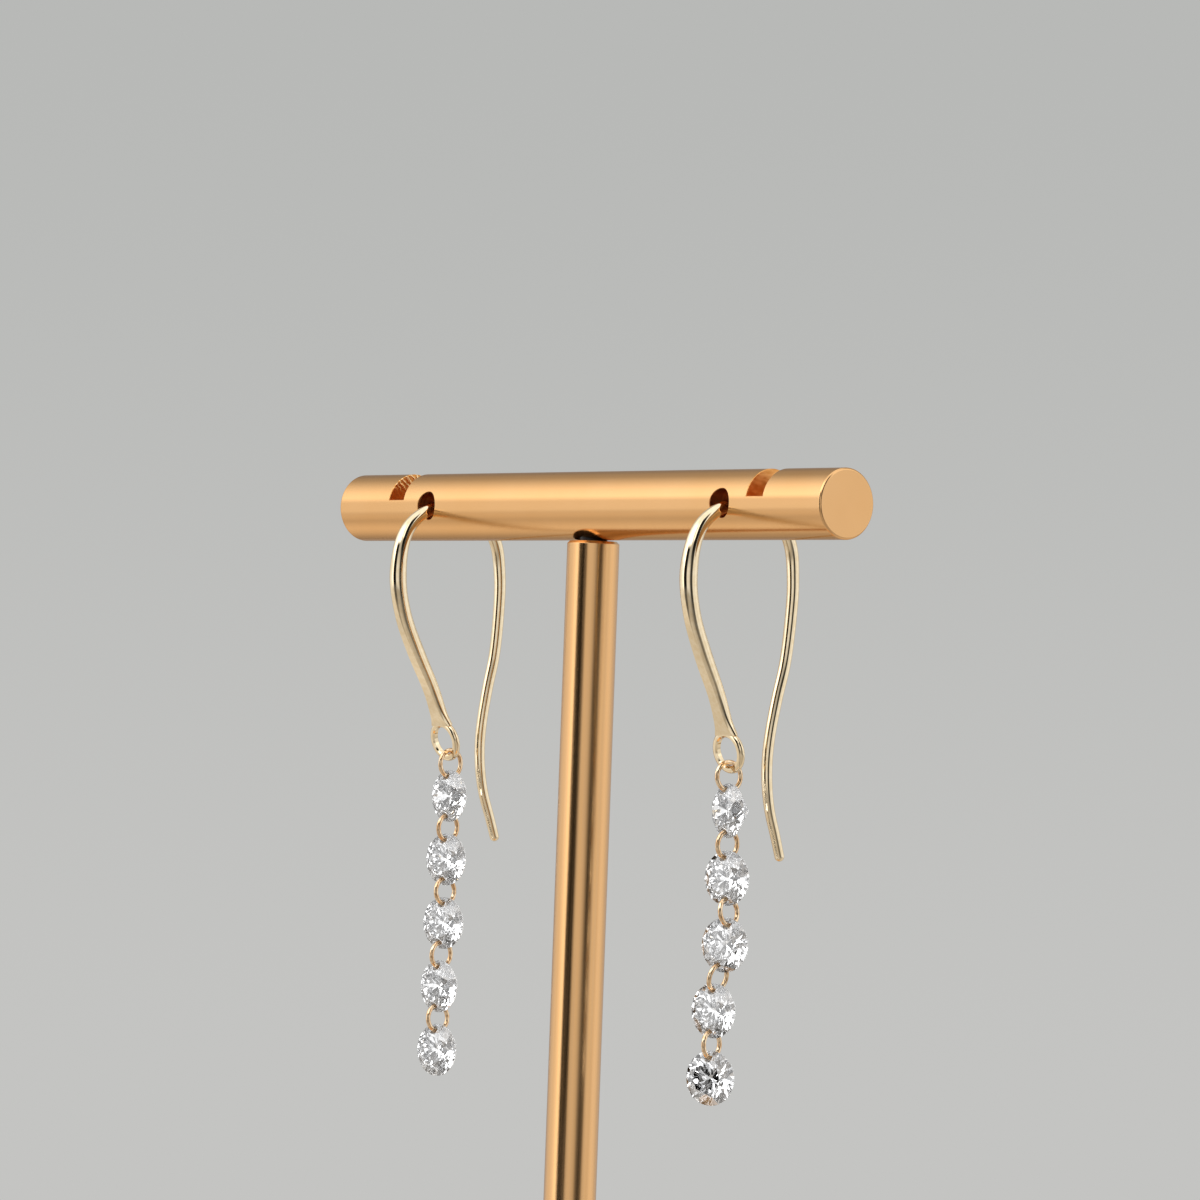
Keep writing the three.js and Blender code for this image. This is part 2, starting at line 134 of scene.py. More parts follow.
def new_material(name):
    material = bpy.data.materials.new(name)
    material.use_nodes = True
    tree = material.node_tree
    return material, tree, tree.nodes["Principled BSDF"]


def in_millimetres(tree, stretch=(1, 1, 1)):
    """The place on the piece in millimetres, each axis multiplied by its stretch."""
    place = add_node(tree, "TexCoord").outputs["Object"]
    scale = [value / MM for value in stretch]
    return add_node(tree, "VectorMath", {0: place, 1: scale}, operation="MULTIPLY")


def wire_finish(tree, shader, colour, gloss=None, relief=None, more=None):
    """Links patterns to the shader.

    The colour is a pattern and two hex colours, the gloss a pattern and two roughnesses, and the
    relief a pattern, its strength and its depth in millimetres.
    """
    pattern, dark, bright = colour
    inputs = {"Base Color": add_node(tree, "Mix", {
        SHARE: pattern, COLOUR_A: linear(dark), COLOUR_B: linear(bright),
    }, data_type="RGBA")}
    if gloss:
        pattern, low, high = gloss
        inputs["Roughness"] = add_node(tree, "MapRange", {
            "Value": pattern, **NOISE_SPREAD, "To Min": low, "To Max": high,
        }, **SMOOTH)
    if relief:
        pattern, strength, depth = relief
        inputs["Normal"] = add_node(tree, "Bump", {
            "Height": pattern, "Strength": strength, "Distance": depth * MM,
        })
    feed(tree, shader, {**inputs, **(more or {})})


# %% [markdown]
# The studio
# Polished metal shows little of itself: it shows the room. The real pair stood in a light tent
# with a large soft panel at the front left, softer walls round it and two dark gaps, which draw
# the black lines down the hooks and the stem. The room is a world shader made of tones round the
# horizon in layers from the near table up to a bright ceiling. The stones see the same room with
# more contrast, which stands in for the hard sparkle of small lamps. The camera itself sees a
# plain pale grey backdrop.

# %% Tones round the room
# Each pair is a compass angle in degrees, 0 in front and 90 at the right, and its brightness.
TONES_AT_EYE_HEIGHT = [
    (-180, 0.75), (-150, 0.5), (-125, 0.42), (-108, 0.46), (-92, 0.66), (-76, 0.88), (-62, 1.0),
    (-50, 1.04), (-43, 1.2), (-33, 1.35), (-24, 1.8), (-15, 1.8), (-12, 0.05), (-11, 0.01),
    (21, 0.01), (25, 0.5), (28, 0.95), (50, 0.9), (60, 0.75), (66, 0.5), (71, 0.1), (76, 0.04),
    (93, 0.06), (98, 0.5), (103, 0.9), (112, 1.0), (128, 0.9), (140, 1.1), (150, 1.12),
    (163, 1.0), (180, 0.75),
]
TONES_ABOVE = [
    (-180, 0.55), (-150, 0.5), (-130, 0.34), (-116, 0.33), (-103, 0.48), (-88, 0.82),
    (-76, 1.1), (-66, 1.38), (-58, 1.55), (-50, 1.75), (-40, 2.2), (-15, 2.5), (-12, 0.6),
    (-10, 0.02), (22, 0.01), (26, 0.4), (31, 0.6), (54, 0.55), (60, 0.1), (64, 0.01), (98, 0.01),
    (103, 0.7), (110, 1.4), (140, 1.5), (150, 1.0), (165, 0.6), (180, 0.55),
]
TONES_HIGH = [
    (-180, 0.6), (-150, 0.55), (-125, 0.45), (-103, 0.52), (-87, 0.82), (-75, 1.1), (-60, 1.5),
    (-45, 2.0), (-30, 2.4), (33, 2.2), (37, 0.5), (43, 0.5), (48, 2.0), (60, 2.0), (65, 0.3),
    (68, 0.02), (98, 0.02), (104, 1.3), (130, 1.2), (150, 0.8), (180, 0.6),
]
# A single pair gives the same brightness all round.
TONES_OF_CEILING = [(-180, 1.3)]
TONES_OF_FAR_TABLE = [
    (-180, 0.6), (-130, 0.46), (-112, 0.53), (-97, 0.64), (-81, 0.78), (-66, 0.84), (-45, 0.9),
    (-20, 0.75), (-13, 0.7), (-10, 0.15), (14, 0.12), (20, 0.3), (24, 0.46), (48, 0.5), (60, 0.4),
    (70, 0.2), (84, 0.16), (96, 0.35), (110, 0.5), (132, 0.5), (145, 0.75), (160, 0.75),
    (180, 0.6),
]
TONES_OF_NEAR_TABLE = [
    (-180, 0.8), (-150, 0.6), (-130, 0.52), (-112, 0.57), (-97, 0.84), (-81, 1.02), (-72, 0.9),
    (-62, 0.72), (-20, 0.7), (-12, 0.7), (-9, 0.4), (12, 0.4), (20, 0.6), (34, 0.68), (50, 0.56),
    (80, 0.5), (105, 0.55), (140, 0.75), (165, 0.82), (180, 0.8),
]
BRIGHTEST = 2.6
# Each layer takes over from what is nearer the horizon between two heights in degrees.
LAYERS = [
    (8, 20, TONES_ABOVE),
    (25, 32, TONES_HIGH),
    (-8, -14, TONES_OF_FAR_TABLE),
    (-19, -29, TONES_OF_NEAR_TABLE),
    (52, 64, TONES_OF_CEILING),
]
print("tones round the room:", len(TONES_AT_EYE_HEIGHT) + sum(len(stops) for _, _, stops in LAYERS))

# %% The walls of the room
world = bpy.data.worlds.new("light_tent")
bpy.context.scene.world = world
world.use_nodes = True
room = world.node_tree
room.nodes.clear()


def tones(tree, angle, stops):
    """The brightness at a compass angle in degrees."""
    place = add_node(tree, "Math", {0: angle, 1: 1 / 360, 2: 0.5}, operation="MULTIPLY_ADD")
    ramp = add_node(tree, "ValToRGB", {"Fac": place})
    elements = ramp.color_ramp.elements
    while len(elements) > 1:
        elements.remove(elements[-1])
    for number, (degrees, brightness) in enumerate(stops):
        where = degrees / 360 + 0.5
        element = elements[0] if number == 0 else elements.new(where)
        element.position = where
        grey = brightness / BRIGHTEST
        element.color = (grey, grey, grey, 1)
    return add_node(tree, "Math", {0: ramp, 1: BRIGHTEST}, operation="MULTIPLY")


direction = add_node(room, "TexCoord").outputs["Generated"]
parts = add_node(room, "SeparateXYZ", {"Vector": direction}).outputs
to_front = add_node(room, "Math", {0: parts["Y"], 1: -1.0}, operation="MULTIPLY")
bearing = add_node(room, "Math", {0: parts["X"], 1: to_front}, operation="ARCTAN2")
compass = add_node(room, "Math", {0: bearing}, operation="DEGREES")
rise = add_node(room, "Math", {0: parts["Z"]}, operation="ARCSINE")
height = add_node(room, "Math", {0: rise}, operation="DEGREES")

light = tones(room, compass, TONES_AT_EYE_HEIGHT)
for start, end, stops in LAYERS:
    layer = tones(room, compass, stops)
    share = add_node(room, "MapRange", {
        "Value": height, "From Min": start, "From Max": end,
    }, **SMOOTH)
    light = add_node(room, "Mix", {SHARE: share, NUMBER_A: light, NUMBER_B: layer})
print("room nodes:", len(room.nodes))

# %% The table's edge and what the stones see
# At the left the edge of the table draws a thin dark line along the bottom of the walls. Its
# height, its reach up and down, and the compass angles where it starts are in degrees.
TABLE_EDGE_HEIGHT = -24.5
TABLE_EDGE_OUTER, TABLE_EDGE_INNER = 2.4, 0.6
TABLE_EDGE_FROM, TABLE_EDGE_FULL = -64, -74
TABLE_EDGE_SHADE = 0.5
SPARKLE = 1.8
# A ray that has gone into a stone counts one or more, and any other ray counts nothing.
BETWEEN_NONE_AND_ONE = 0.5

above = add_node(room, "Math", {0: height, 1: -TABLE_EDGE_HEIGHT}, operation="ADD")
off_line = add_node(room, "Math", {0: above}, operation="ABSOLUTE")
on_line = add_node(room, "MapRange", {
    "Value": off_line, "From Min": TABLE_EDGE_OUTER, "From Max": TABLE_EDGE_INNER,
}, **SMOOTH)
at_left = add_node(room, "MapRange", {
    "Value": compass,
    "From Min": TABLE_EDGE_FROM,
    "From Max": TABLE_EDGE_FULL,
    "To Max": TABLE_EDGE_SHADE,
}, **SMOOTH)
shade = add_node(room, "Math", {0: at_left, 1: on_line}, operation="MULTIPLY")
left_over = add_node(room, "Math", {0: 1.0, 1: shade}, operation="SUBTRACT")
light = add_node(room, "Math", {0: light, 1: left_over}, operation="MULTIPLY")

sight = add_node(room, "LightPath").outputs
in_a_stone = add_node(room, "Math", {
    0: sight["Transmission Depth"], 1: BETWEEN_NONE_AND_ONE,
}, operation="GREATER_THAN")
sparkling = add_node(room, "Math", {0: light, 1: SPARKLE}, operation="POWER")
light = add_node(room, "Mix", {SHARE: in_a_stone, NUMBER_A: light, NUMBER_B: sparkling})
print("contrast in the stones:", SPARKLE)

# %% The room's tints and the backdrop that the camera sees
WHITE_WALLS, WARM_TABLE = "#FFFFFF", "#FFF8EF"
BACKDROP_LOW, BACKDROP_HIGH = "#C4C4C2", "#B8B9B7"
# Between which heights in degrees one colour passes into the other.
TABLE_SPAN = (-8, -20)
BACKDROP_SPAN = (-4.0, 7.0)

tints = []
for (start, end), first, second in (
    (TABLE_SPAN, WHITE_WALLS, WARM_TABLE),
    (BACKDROP_SPAN, BACKDROP_LOW, BACKDROP_HIGH),
):
    share = add_node(room, "MapRange", {
        "Value": height, "From Min": start, "From Max": end,
    }, **SMOOTH)
    tints.append(add_node(room, "Mix", {
        SHARE: share, COLOUR_A: linear(first), COLOUR_B: linear(second),
    }, data_type="RGBA"))
lighting = add_node(room, "Background", {"Color": tints[0], "Strength": light})
seen = add_node(room, "Background", {"Color": tints[1]})
mixed = add_node(room, "MixShader", {0: sight["Is Camera Ray"], 1: lighting, 2: seen})
add_node(room, "OutputWorld", {"Surface": mixed})
print("backdrop from", BACKDROP_LOW, "to", BACKDROP_HIGH)

# %% [markdown]
# The floor
# The stand's foot rests on pale card. A disc is enough, because the camera only sees it in other
# views, and its rim fades away so that no edge shows. Card is matte with a faint fibre, so its
# finish is a very rough grey with a soft mottle.

# %% The floor
FLOOR_RADIUS = 420
FLOOR_FADE_FROM = 190
FLOOR_SIDES = 96


def floor_finish():
    material, tree, shader = new_material("pale_card")
    # Card fibres are about a millimetre long.
    fibre = add_node(tree, "TexNoise", {
        "Vector": in_millimetres(tree), "Scale": 0.8, "Detail": 6.0,
    })
    place = add_node(tree, "TexCoord").outputs["Object"]
    reach = add_node(tree, "VectorMath", {0: place}, operation="LENGTH")
    fade = add_node(tree, "MapRange", {
        "Value": reach,
        "From Min": FLOOR_FADE_FROM * MM,
        "From Max": FLOOR_RADIUS * MM,
        "To Min": 1.0,
        "To Max": 0.0,
    }, **SMOOTH)
    wire_finish(
        tree, shader,
        colour=(fibre, "#C6C6C3", "#CCCCC9"),
        relief=(fibre, 0.1, 0.05),
        more={"Roughness": 0.9, "Specular IOR Level": 0.15, "Alpha": fade},
    )
    return material


floor_mesh = bpy.data.meshes.new("floor")
floor_shape = bmesh.new()
bmesh.ops.create_circle(floor_shape, cap_ends=True, segments=FLOOR_SIDES, radius=FLOOR_RADIUS * MM)
floor_shape.to_mesh(floor_mesh)
floor_shape.free()
floor_mesh.materials.append(floor_finish())
floor = bpy.data.objects.new("floor", floor_mesh)
bpy.context.scene.collection.objects.link(floor)
floor.visible_glossy = False
floor.visible_transmission = False
print("floor radius in mm:", FLOOR_RADIUS)

# %% [markdown]
# The stand's sizes
# The values repeat those of the CAD source, in millimetres. The bar's axis is the origin of all
# that hangs on it.

# %% The stand's sizes
STAND_HEIGHT = 95
BAR_LENGTH = 55
BAR_RADIUS = 2.5
BAR_CHAMFER = 0.18
STEM_RADIUS = 1.9
STEM_CHAMFER = 0.2
STUD_RADIUS = 1
STUD_LENGTH = 2
SPIGOT_RADIUS = 1.5
SPIGOT_LENGTH = 3
BASE_RADIUS = 25
BASE_THICKNESS = 4.5
BASE_CHAMFER = 0.4
FIT_CLEARANCE = 0.05
BORE_RELIEF = 0.3
SLOT_X = 20.5
SLOT_WIDTH = 1.75
SLOT_DEPTH = 2.05
HOOK_X = 16.8
WIRE_IN_BAR = 0.92
WIRE_SLOPE_IN_BAR = 26
CROWN_RISE = 0.52
HOLE_PLAY = 0.52
REST_GAP = 0.05

BAR_AXIS_HEIGHT = STAND_HEIGHT - BAR_RADIUS
STEM_TOP = BAR_AXIS_HEIGHT - BAR_RADIUS - FIT_CLEARANCE
WIRE_HEIGHT_IN_BAR = WIRE_IN_BAR / math.cos(math.radians(WIRE_SLOPE_IN_BAR))
HOLE_RADIUS = (WIRE_HEIGHT_IN_BAR + CROWN_RISE + HOLE_PLAY) / 2
SLOT_FLOOR = BAR_RADIUS - SLOT_DEPTH
print("hook holes in mm:", round(2 * HOLE_RADIUS, 3))

# %% [markdown]
# Turned shapes
# The bar, stem and base come off a lathe, so each is one profile swept round its axis. Real
# turned corners are broken with a small radius, and that radius is what catches the light. The
# profile is rounded corner by corner, and each point keeps the exact normal of its arc, so a wide
# flat stays flat right up to its rounded edge.

# %% Turned shapes
ARC_STEPS = 6
ON_AXIS = 1e-9


def spokes(count):
    """The cosine and sine of even steps round a circle."""
    angles = [2 * math.pi * step / count for step in range(count)]
    return [(math.cos(angle), math.sin(angle)) for angle in angles]


def flat_normal(start, end):
    along = (end - start).normalized()
    return Vector((along.y, -along.x))


def rounded_profile(corners, rounding):
    """Points and outward normals along a profile of (radius, height) corners."""
    corners = [Vector(corner) for corner in corners]
    points = [corners[0]]
    normals = [flat_normal(corners[0], corners[1])]
    for before, corner, after in zip(corners, corners[1:], corners[2:]):
        first = flat_normal(before, corner)
        last = flat_normal(corner, after)
        bend = first.angle_signed(last)
        setback = rounding * abs(math.tan(bend / 2))
        start = corner + (before - corner).normalized() * setback
        side = 1 if bend < 0 else -1
        centre = start - first * rounding * side
        for step in range(ARC_STEPS + 1):
            angle = -bend * step / ARC_STEPS
            cosine, sine = math.cos(angle), math.sin(angle)
            normal = Vector((first.x * cosine - first.y * sine, first.x * sine + first.y * cosine))
            points.append(centre + normal * rounding * side)
            normals.append(normal)
    points.append(corners[-1])
    normals.append(flat_normal(corners[-2], corners[-1]))
    return points, normals


print("steps in a rounded corner:", ARC_STEPS)


# %% Sweeping a profile round its axis
def turned_mesh(name, corners, rounding, sides):
    """A closed turned mesh round Z; the profile's ends lie on the axis or meet each other."""
    points, normals = rounded_profile(corners, rounding)
    vertices = []
    vertex_normals = []
    rings = []
    for point, normal in zip(points, normals):
        on_axis = point.x < ON_AXIS
        circle = spokes(1 if on_axis else sides)
        rings.append(range(len(vertices), len(vertices) + len(circle)))
        for cosine, sine in circle:
            vertices.append((point.x * cosine, point.x * sine, point.y))
            flat = (0, 0, math.copysign(1, normal.y))
            slanting = (normal.x * cosine, normal.x * sine, normal.y)
            vertex_normals.append(flat if on_axis else slanting)
    faces = []
    for low, high in zip(rings, rings[1:]):
        for side in range(sides):
            after = (side + 1) % sides
            if len(low) == 1:
                faces.append((low[0], high[after], high[side]))
            elif len(high) == 1:
                faces.append((low[side], low[after], high[0]))
            else:
                faces.append((low[side], low[after], high[after], high[side]))
    mesh = bpy.data.meshes.new(name)
    mesh.from_pydata(vertices, [], faces)
    mesh.polygons.foreach_set("use_smooth", [True] * len(mesh.polygons))
    mesh.update()
    return mesh, vertex_normals


# %% Dressing a mesh and adding it as a piece
def dress(mesh, finishes):
    """Gives the mesh its finishes; each face keeps the number of its own one."""
    numbers = [face.material_index for face in mesh.polygons]
    mesh.materials.clear()
    for finish in finishes:
        mesh.materials.append(finish)
    mesh.polygons.foreach_set("material_index", numbers)


def add_piece(mesh, name, node):
    """A finished mesh in millimetres becomes a piece in metres that stands for its node."""
    mesh.transform(Matrix.Scale(MM, 4))
    mesh.name = name
    piece = bpy.data.objects.new(name, mesh)
    bpy.context.scene.collection.objects.link(piece)
    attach(piece, "root")
    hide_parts(node)
    return piece


# %% [markdown]
# The stand's finishes
# The stand is brass with a rose-gold plating. The bar was spun against a fine abrasive, so hair
# lines run round it: they blur what it mirrors along its length and keep it crisp round the
# barrel. The stem was drawn and polished lengthwise, so it is glossier and its streaks run up
# and down. Its top end is painted near black as shade, which draws the dark line of shadow in the
# gap under the bar. Real hair lines are a few hundredths of a millimetre wide, and here they are
# drawn at about a tenth so that they show.

# %% The satin bar and base
HAIR_LINE = 0.1
HAIR_LINE_LENGTH = 50
EDGE_TINT = linear("#F0E2D2")
QUARTER_TURN = 0.25


def satin_finish(name, across, spun_round=None):
    """Satin plating whose hair lines are stacked along the direction across."""
    material, tree, shader = new_material(name)
    stretch = [value / HAIR_LINE + 1 / HAIR_LINE_LENGTH for value in across]
    lines = add_node(tree, "TexNoise", {
        "Vector": in_millimetres(tree, stretch),
        "Scale": 1.0,
        "Detail": 3.0,
        "Roughness": 0.6,
    })
    # The plating is a shade paler in clouds five or six millimetres across.
    cloud = add_node(tree, "TexNoise", {
        "Vector": in_millimetres(tree), "Scale": 0.18, "Detail": 4.0,
    })
    wire_finish(
        tree, shader,
        colour=(cloud, "#DFAC72", "#E4B580"),
        gloss=(lines, 0.15, 0.2),
        relief=(lines, 0.12, 0.01),
        more={"Metallic": 1, "Specular Tint": EDGE_TINT, "Anisotropic": 0.6},
    )
    if spun_round:
        along = add_node(tree, "Tangent", direction_type="RADIAL", axis=spun_round)
        feed(tree, shader, {"Tangent": along, "Anisotropic Rotation": QUARTER_TURN})
    return material


bar_satin = satin_finish("satin_rose_gold_plating_on_bar", (1, 0, 0), "X")
base_satin = satin_finish("satin_rose_gold_plating_on_base", (1, 1, 0))
print("satin finishes:", bar_satin.name, base_satin.name)

# %% The drawn stem and its end painted dark as shade
# Six streaks to the millimetre round the rod, and each about twenty millimetres long.
STREAKS = (6, 6, 0.05)


def drawn_finish():
    material, tree, shader = new_material("drawn_rose_gold_plating")
    streaks = add_node(tree, "TexNoise", {
        "Vector": in_millimetres(tree, STREAKS), "Scale": 1.0, "Detail": 3.0,
    })
    wire_finish(
        tree, shader,
        colour=(streaks, "#DAA86C", "#E2B584"),
        gloss=(streaks, 0.18, 0.26),
        relief=(streaks, 0.15, 0.01),
        more={"Metallic": 1},
    )
    return material


def painted_shade_finish():
    material, tree, shader = new_material("painted_shade_stem_top_finish")
    # The painted shade is mottled in flakes of about half a millimetre.
    shade_mottle = add_node(tree, "TexNoise", {
        "Vector": in_millimetres(tree), "Scale": 2.0, "Detail": 4.0,
    })
    # Near-black painted shade, standing for the shadow in the gap between the stem's top and the bar.
    wire_finish(tree, shader, colour=(shade_mottle, "#140D08", "#2A1A10"), gloss=(shade_mottle, 0.5, 0.8))
    return material


stem_drawn = drawn_finish()
painted_shade_at_stem_top = painted_shade_finish()
print("stem finishes:", stem_drawn.name, painted_shade_at_stem_top.name)

# %% [markdown]
# Raw metal in the cuts
# The hook holes and the saw slots were cut after plating, which leaves raw, warmer brass in them
# with the marks of the tool. The drill leaves fine rings and the saw leaves faint level lines. In
# the left slot the blade trembled and left slanting ripples near the top, and their crests carry
# a painted highlight, a paler colour.

# %% Raw metal in the cuts
CLEAR_SPREAD = {"From Min": 0.35, "From Max": 0.65}
MARK_DEPTH = 0.02
# How often the marks change in a millimetre across the bar, front to back, and up.
DRILL_MARKS = (0.5, 6, 0.5)
SAW_MARKS = (0.5, 1.4, 3)


def raw_cut_finish(name, stretch, dark, bright):
    material, tree, shader = new_material(name)
    marks = add_node(tree, "TexNoise", {
        "Vector": in_millimetres(tree, stretch), "Scale": 1.0, "Detail": 2.0,
    })
    clear_marks = add_node(tree, "MapRange", {"Value": marks, **CLEAR_SPREAD}, **SMOOTH)
    wire_finish(
        tree, shader,
        colour=(clear_marks, dark, bright),
        gloss=(marks, 0.28, 0.42),
        relief=(marks, 0.5, MARK_DEPTH),
        more={"Metallic": 1},
    )
    return material


drilled_metal = raw_cut_finish("raw_drilled_brass", DRILL_MARKS, "#C88450", "#DCA468")
sawn_metal = raw_cut_finish("raw_sawn_brass", SAW_MARKS, "#DC9A54", "#F0B46E")
print("raw metal:", drilled_metal.name, sawn_metal.name)

# %% Chatter marks in the left slot
# The ripples, and the painted highlight on their crests, grow from faint to full between these
# heights over the bar's axis, where the blade went in.
CHATTER_FROM, CHATTER_FULL = 1.0, 1.9
CHATTER_BELOW = 0.1


def chattered_finish():
    material, tree, shader = new_material("raw_chattered_brass_painted_highlight")
    place = in_millimetres(tree)
    # The bands lie about a third of a millimetre apart.
    wave = add_node(tree, "TexWave", {
        "Vector": place, "Scale": 1.2, "Distortion": 5.0, "Detail": 2.0, "Detail Scale": 1.6,
    }, bands_direction="DIAGONAL")
    crests = add_node(tree, "MapRange", {
        "Value": wave.outputs["Fac"], "From Min": 0.3, "From Max": 1.0,
    }, **SMOOTH)
    strength = add_node(tree, "MapRange", {
        "Value": add_node(tree, "SeparateXYZ", {"Vector": place}).outputs["Z"],
        "From Min": BAR_AXIS_HEIGHT + CHATTER_FROM,
        "From Max": BAR_AXIS_HEIGHT + CHATTER_FULL,
        "To Min": CHATTER_BELOW,
    }, **SMOOTH)
    ripples_and_painted_highlight = add_node(tree, "Math", {0: crests, 1: strength}, operation="MULTIPLY")
    roughness = add_node(tree, "MapRange", {
        "Value": ripples_and_painted_highlight, "To Min": 0.32, "To Max": 0.22,
    }, **SMOOTH)
    # The crests are painted a paler colour as a highlight; the relief and the gloss are the real
    # chatter marks.
    wire_finish(
        tree, shader,
        colour=(ripples_and_painted_highlight, "#DA9850", "#FBD49C"),
        relief=(ripples_and_painted_highlight, 0.6, 0.05),
        more={"Metallic": 1, "Roughness": roughness},
    )
    return material


chattered_metal = chattered_finish()
print("chatter marks:", chattered_metal.name)

# %% [markdown]
# The crossbar
# The real bar is a turned rod with two holes drilled through it and two slots sawn across its
# top. A boolean cut gives the same edges. Each cutter widens by a few hundredths of a millimetre
# where it leaves the barrel, which breaks the edge as a file would. After the cuts, every face
# gets the exact normal of the surface that it lies on, because a satin mirror shows the
# slightest error in them.

# %% Cutting one solid with another
def modified(mesh, kind, **settings):
    """The mesh after one modifier; the old mesh is thrown away."""
    thing = bpy.data.objects.new("temporary", mesh)
    bpy.context.scene.collection.objects.link(thing)
    modifier = thing.modifiers.new("step", kind)
    for name, value in settings.items():
        setattr(modifier, name, value)
    depsgraph = bpy.context.evaluated_depsgraph_get()
    result = bpy.data.meshes.new_from_object(thing.evaluated_get(depsgraph))
    bpy.data.objects.remove(thing)
    bpy.data.meshes.remove(mesh)
    return result


def joined(mesh, tool_mesh, operation):
    """The mesh after a boolean with the tool."""
    tool = bpy.data.objects.new("tool", tool_mesh)
    bpy.context.scene.collection.objects.link(tool)
    result = modified(mesh, "BOOLEAN", solver="EXACT", operation=operation, object=tool)
    bpy.data.objects.remove(tool)
    bpy.data.meshes.remove(tool_mesh)
    return result


def skinned(name, rows, material_index=0, close_rows=False):
    """A skin over rows of points. Each row is closed, and the ends are capped or meet."""
    count = len(rows[0])
    vertices = [tuple(point) for row in rows for point in row]
    faces = []
    for low in range(len(rows) if close_rows else len(rows) - 1):
        high = (low + 1) % len(rows)
        for side in range(count):
            after = (side + 1) % count
            a, b = low * count + side, low * count + after
            c, d = high * count + after, high * count + side
            faces.append((a, b, c, d))
    if not close_rows:
        last = (len(rows) - 1) * count
        faces.append(tuple(range(count))[::-1])
        faces.append(tuple(range(last, last + count)))
    mesh = bpy.data.meshes.new(name)
    mesh.from_pydata(vertices, [], faces)
    mesh.update()
    shape = bmesh.new()
    shape.from_mesh(mesh)
    bmesh.ops.recalc_face_normals(shape, faces=shape.faces)
    shape.to_mesh(mesh)
    shape.free()
    mesh.polygons.foreach_set("material_index", [material_index] * len(mesh.polygons))
    return mesh


# %% Slicing a solid with a plane
SAME_PLACE = 1e-6


def slice_off(shape, point, normal, material_index=0):
    """Takes off what lies beyond the plane and closes the cut."""
    cut = bmesh.ops.bisect_plane(
        shape,
        geom=shape.verts[:] + shape.edges[:] + shape.faces[:],
        dist=SAME_PLACE,
        plane_co=point,
        plane_no=normal,
        clear_outer=True,
    )
    rim = [item for item in cut["geom_cut"] if isinstance(item, bmesh.types.BMEdge)]
    if rim:
        bmesh.ops.contextual_create(shape, geom=rim, mat_nr=material_index)


# %% The drill
EDGE_BREAK = 0.04
OVERSHOOT = 0.01
BORE_SIDES = 96
TURNED, DRILLED, CHATTERED, SAWN = 0, 1, 2, 3


def hole_cutter(centre_x):
    """A drill along Y that flares by the edge break where it leaves the barrel."""
    flare = HOLE_RADIUS + EDGE_BREAK + OVERSHOOT

    def row(radius, depth):
        points = [(radius * cosine, radius * sine) for cosine, sine in spokes(BORE_SIDES)]
        return [(centre_x + x, depth(z), z) for x, z in points]

    def barrel(z):
        return math.sqrt(BAR_RADIUS ** 2 - z ** 2)

    rows = [
        row(flare, lambda z: -2 * BAR_RADIUS),
        row(flare, lambda z: -barrel(z) - OVERSHOOT),
        row(HOLE_RADIUS, lambda z: -barrel(z) + EDGE_BREAK),
        row(HOLE_RADIUS, lambda z: barrel(z) - EDGE_BREAK),
        row(flare, lambda z: barrel(z) + OVERSHOOT),
        row(flare, lambda z: 2 * BAR_RADIUS),
    ]
    return skinned("hole_cutter", rows, DRILLED)


def bore_cutter():
    """The blind bore for the stem's stud."""
    radius = STUD_RADIUS + FIT_CLEARANCE
    top = -BAR_RADIUS + STUD_LENGTH + BORE_RELIEF
    corners = [(0, -2 * BAR_RADIUS), (radius, -2 * BAR_RADIUS), (radius, top), (0, top)]
    mesh, _ = turned_mesh("bore_cutter", corners, EDGE_BREAK, BORE_SIDES)
    mesh.polygons.foreach_set("material_index", [DRILLED] * len(mesh.polygons))
    return mesh


print("depth of the stud's bore in mm:", round(STUD_LENGTH + BORE_RELIEF, 2))

# %% The saw
# The blade's path is a fan of sections round the bar's axis, cut level at the slot's floor.
FAN_LOWEST = 0.05
FAN_HALF_ANGLE, FAN_STEP = 100, 2


def slot_cutter(centre_x):
    """A saw blade across the top of the bar that widens by the edge break at the barrel."""
    half = SLOT_WIDTH / 2
    wide = half + EDGE_BREAK + OVERSHOOT
    section = [
        (-half, FAN_LOWEST),
        (-half, BAR_RADIUS - EDGE_BREAK),
        (-wide, BAR_RADIUS + OVERSHOOT),
        (-wide, 2 * BAR_RADIUS),
        (wide, 2 * BAR_RADIUS),
        (wide, BAR_RADIUS + OVERSHOOT),
        (half, BAR_RADIUS - EDGE_BREAK),
        (half, FAN_LOWEST),
    ]
    rows = []
    for degrees in range(-FAN_HALF_ANGLE, FAN_HALF_ANGLE + 1, FAN_STEP):
        angle = math.radians(degrees)
        rows.append([
            (centre_x + x, reach * math.sin(angle), reach * math.cos(angle)) for x, reach in section
        ])
    cut_face = CHATTERED if centre_x < 0 else SAWN
    mesh = skinned("slot_cutter", rows, cut_face)
    shape = bmesh.new()
    shape.from_mesh(mesh)
    slice_off(shape, (0, 0, SLOT_FLOOR), (0, 0, -1), cut_face)
    bmesh.ops.recalc_face_normals(shape, faces=shape.faces)
    shape.to_mesh(mesh)
    shape.free()
    return mesh


def lip_cutter(centre_x, side):
    """A thin square rod that breaks the edge where the slot's floor meets the barrel."""
    edge_y = side * math.sqrt(BAR_RADIUS ** 2 - SLOT_FLOOR ** 2)
    half = SLOT_WIDTH / 2 + EDGE_BREAK / 2
    rows = []
    for x in (centre_x - half, centre_x + half):
        rows.append([
            (x, edge_y + EDGE_BREAK, SLOT_FLOOR),
            (x, edge_y, SLOT_FLOOR + EDGE_BREAK),
            (x, edge_y - EDGE_BREAK, SLOT_FLOOR),
            (x, edge_y, SLOT_FLOOR - EDGE_BREAK),
        ])
    return skinned("lip_cutter", rows, SAWN)


print("slot floor over the bar's axis in mm:", round(SLOT_FLOOR, 3))

# %% The crossbar
BAR_SIDES = 256
AT_THE_RIM = 0.5


